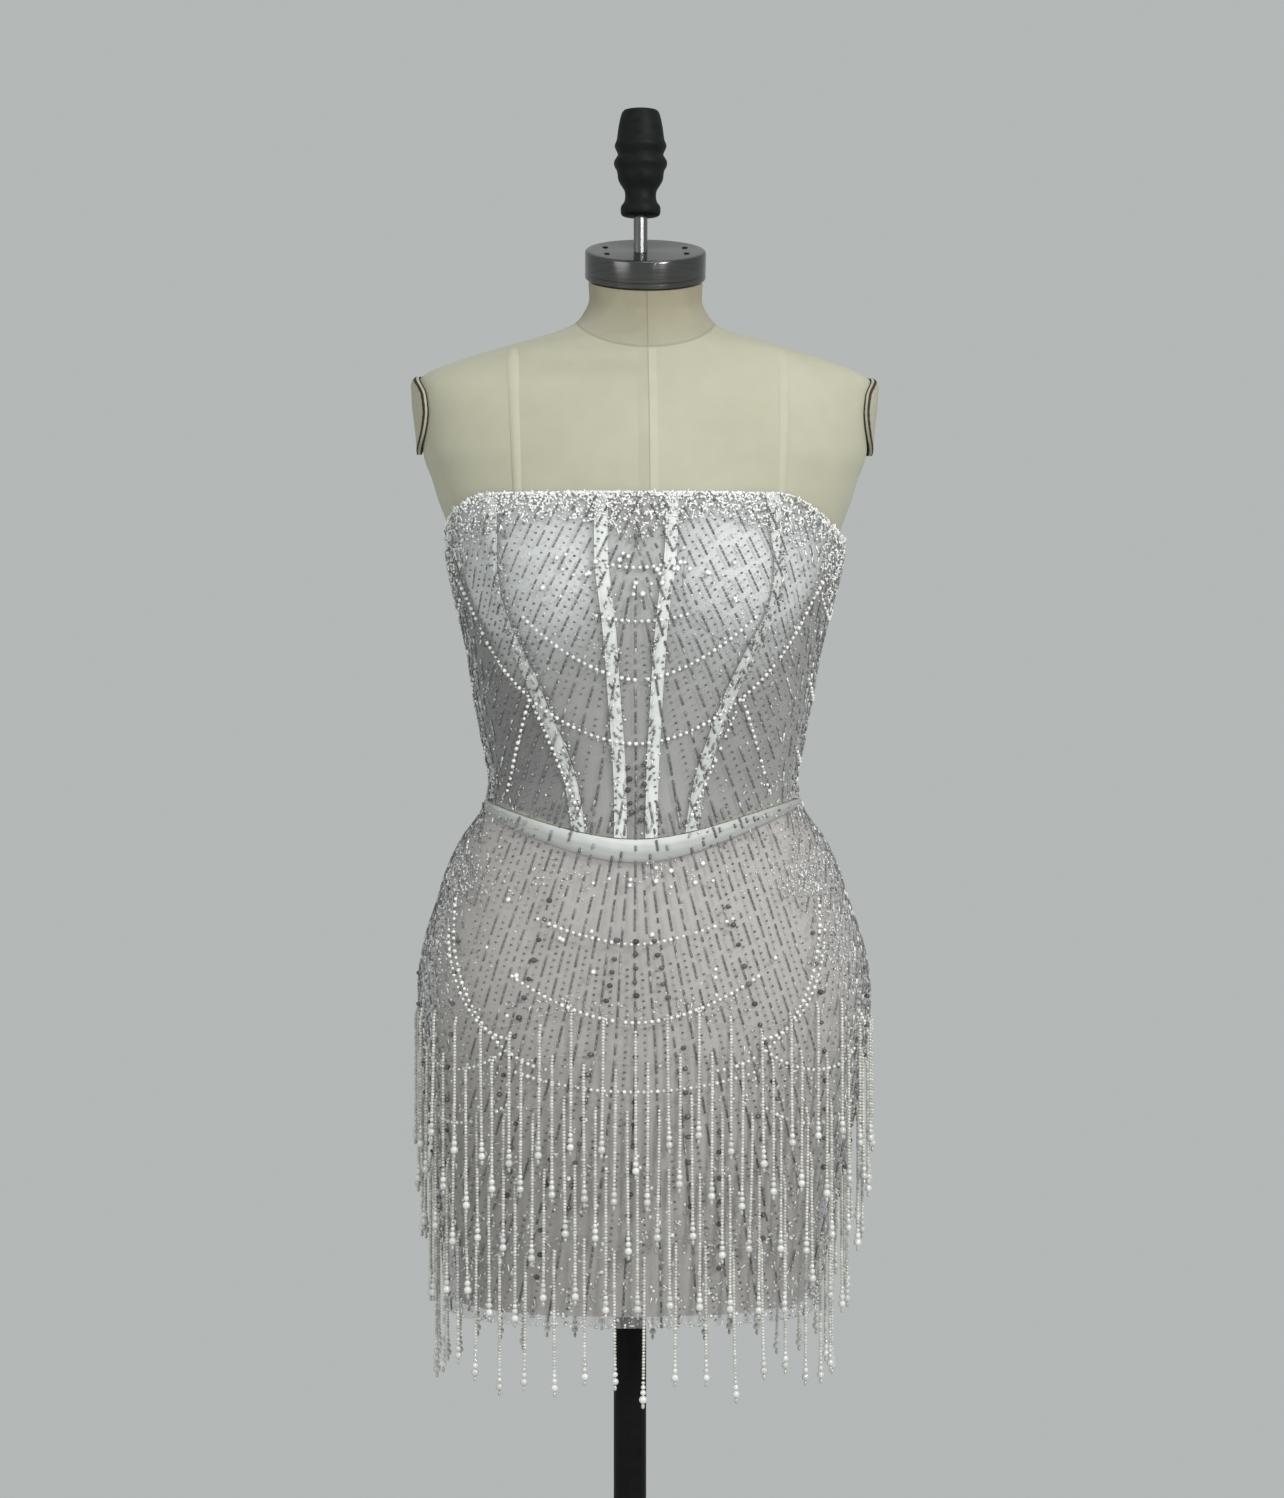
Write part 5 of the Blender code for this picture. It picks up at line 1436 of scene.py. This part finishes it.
# Zip at the centre back: two woven tapes and the meshed teeth between them
zipPart = {"low": .962, "high": 1.286, "rows": 220, "tape": (.0010, .0029), "toothPitch": .0013, "toothAside": .00035}


def besideZip(aside, z):
    # the angle of a line beside the centre back
    return math.pi + aside / reach(math.pi + cut["turn"], z)


def buildZip():
    # on each side a tape at a width beside the centre back, and a row of teeth at even steps
    low, high = zipPart["low"], zipPart["high"]
    across, z = np.meshgrid(np.linspace(*zipPart["tape"], 4), np.linspace(low, high, zipPart["rows"]))
    rise = np.broadcast_to((.0012, .0013, .0011, .0007), z.shape)
    for side, turn, replaced in (("left", -1, ()), ("right", 1, ("zip_chain",))):
        local = besideZip(turn * across, z)[:, ::turn]
        clothPiece(f"zip_tape_{side}", dress(local, z, rise[:, ::turn] + .0001), dress(local, z, .0004),
                   finishes["zipTape"], replaced, np.stack([local * .09, z], axis=-1))
    tray = []
    for turn in (-1, 1):
        z = np.arange(low + .002, high - .012, zipPart["toothPitch"]) + max(turn, 0) * zipPart["toothPitch"] / 2
        local = besideZip(turn * zipPart["toothAside"], z)
        spot = dress(local, z, .0012)
        normal = dress(local, z, .0022) - spot
        normal /= np.linalg.norm(normal, axis=1, keepdims=True)
        across = np.cross(normal, (0.0, 0.0, 1.0))
        setShapes(tray, "seed", (spot, across, np.cross(normal, across), normal), (.0009, .0005, .0005), .5)
    joinBeads("zip_teeth", tray, "zipTeeth")


buildZip()
print("zip done")

# Studio: a pale floor, soft light from the front right, and the photo's own camera
studio = {"floorRings": (.3, .8, 1.4, 2.1), "floorSides": 96, "aim": 1.05,
          "world": (.455, .478, .475), "worldStrength": 1.0,
          # each lamp: place, size, power
          "key": ((1.30, -2.2, 2.30), .6, 44), "fill": ((-2.0, -1.9, 1.7), 1.6, 14),
          "top": ((.3, -.6, 3.3), 1.0, 8), "spark": ((.75, -2.6, 1.75), .10, 4),
          "camera": (-.0846, -2.6987, 1.133), "cameraTurn": -2.0, "lens": 81.1}


def buildStudio():
    # a round floor of rings of points, an even sky, four round lamps and the camera
    sides, radii = studio["floorSides"], np.array(studio["floorRings"])[:, None]
    turn = np.arange(sides) * 2 * math.pi / sides
    points = np.stack([radii * np.cos(turn), radii * np.sin(turn), 0 * radii * turn], axis=-1)
    faces = gridFaces(len(radii), sides, True)[:, ::-1]
    middle = np.stack([np.full(sides, radii.size * sides), np.arange(sides), np.roll(np.arange(sides), -1)], axis=-1)
    mesh = bpy.data.meshes.new("floor")
    mesh.from_pydata(np.concatenate([points.reshape(-1, 3), [[0, 0, 0]]]).tolist(), [],
                     faces.tolist() + middle.tolist())
    floor = bpy.data.objects.new("floor", mesh)
    bpy.context.scene.collection.objects.link(floor)
    material, tree, shader = newFinish("pale_floor", (.62, .63, .62), .8)
    cloud = noiseFrom(tree, coordinates(tree, "Object"), 1.2)
    tree.links.new(ramp(tree, cloud, ((.3, (.60, .61, .60)), (.7, (.66, .67, .66)))), shader.inputs["Base Color"])
    floor.data.materials.append(material)
    world = bpy.data.worlds.new("studio")
    world.use_nodes = True
    world.node_tree.nodes["Background"].inputs["Color"].default_value = (*studio["world"], 1)
    world.node_tree.nodes["Background"].inputs["Strength"].default_value = studio["worldStrength"]
    bpy.context.scene.world = world
    bpy.context.scene.view_settings.view_transform = "Standard"
    for name in ("key", "fill", "top", "spark"):
        place, size, power = studio[name]
        lamp = bpy.data.lights.new(f"{name}_light", "AREA")
        lamp.shape = "DISK"
        lamp.size = size
        lamp.energy = power
        holder = bpy.data.objects.new(f"{name}_light", lamp)
        holder.location = place
        holder.rotation_euler = (Vector((0, 0, studio["aim"])) - Vector(place)).to_track_quat("-Z", "Y").to_euler()
        bpy.context.scene.collection.objects.link(holder)
    lens = bpy.data.cameras.new("photo_camera")
    lens.lens = studio["lens"]
    lens.sensor_width = 36
    lens.clip_start, lens.clip_end = .1, 60
    camera = bpy.data.objects.new("photo_camera", lens)
    camera.location = studio["camera"]
    camera.rotation_euler = (math.radians(90), 0, math.radians(studio["cameraTurn"]))
    bpy.context.scene.collection.objects.link(camera)
    bpy.context.scene.camera = camera


buildStudio()
print("scene done")
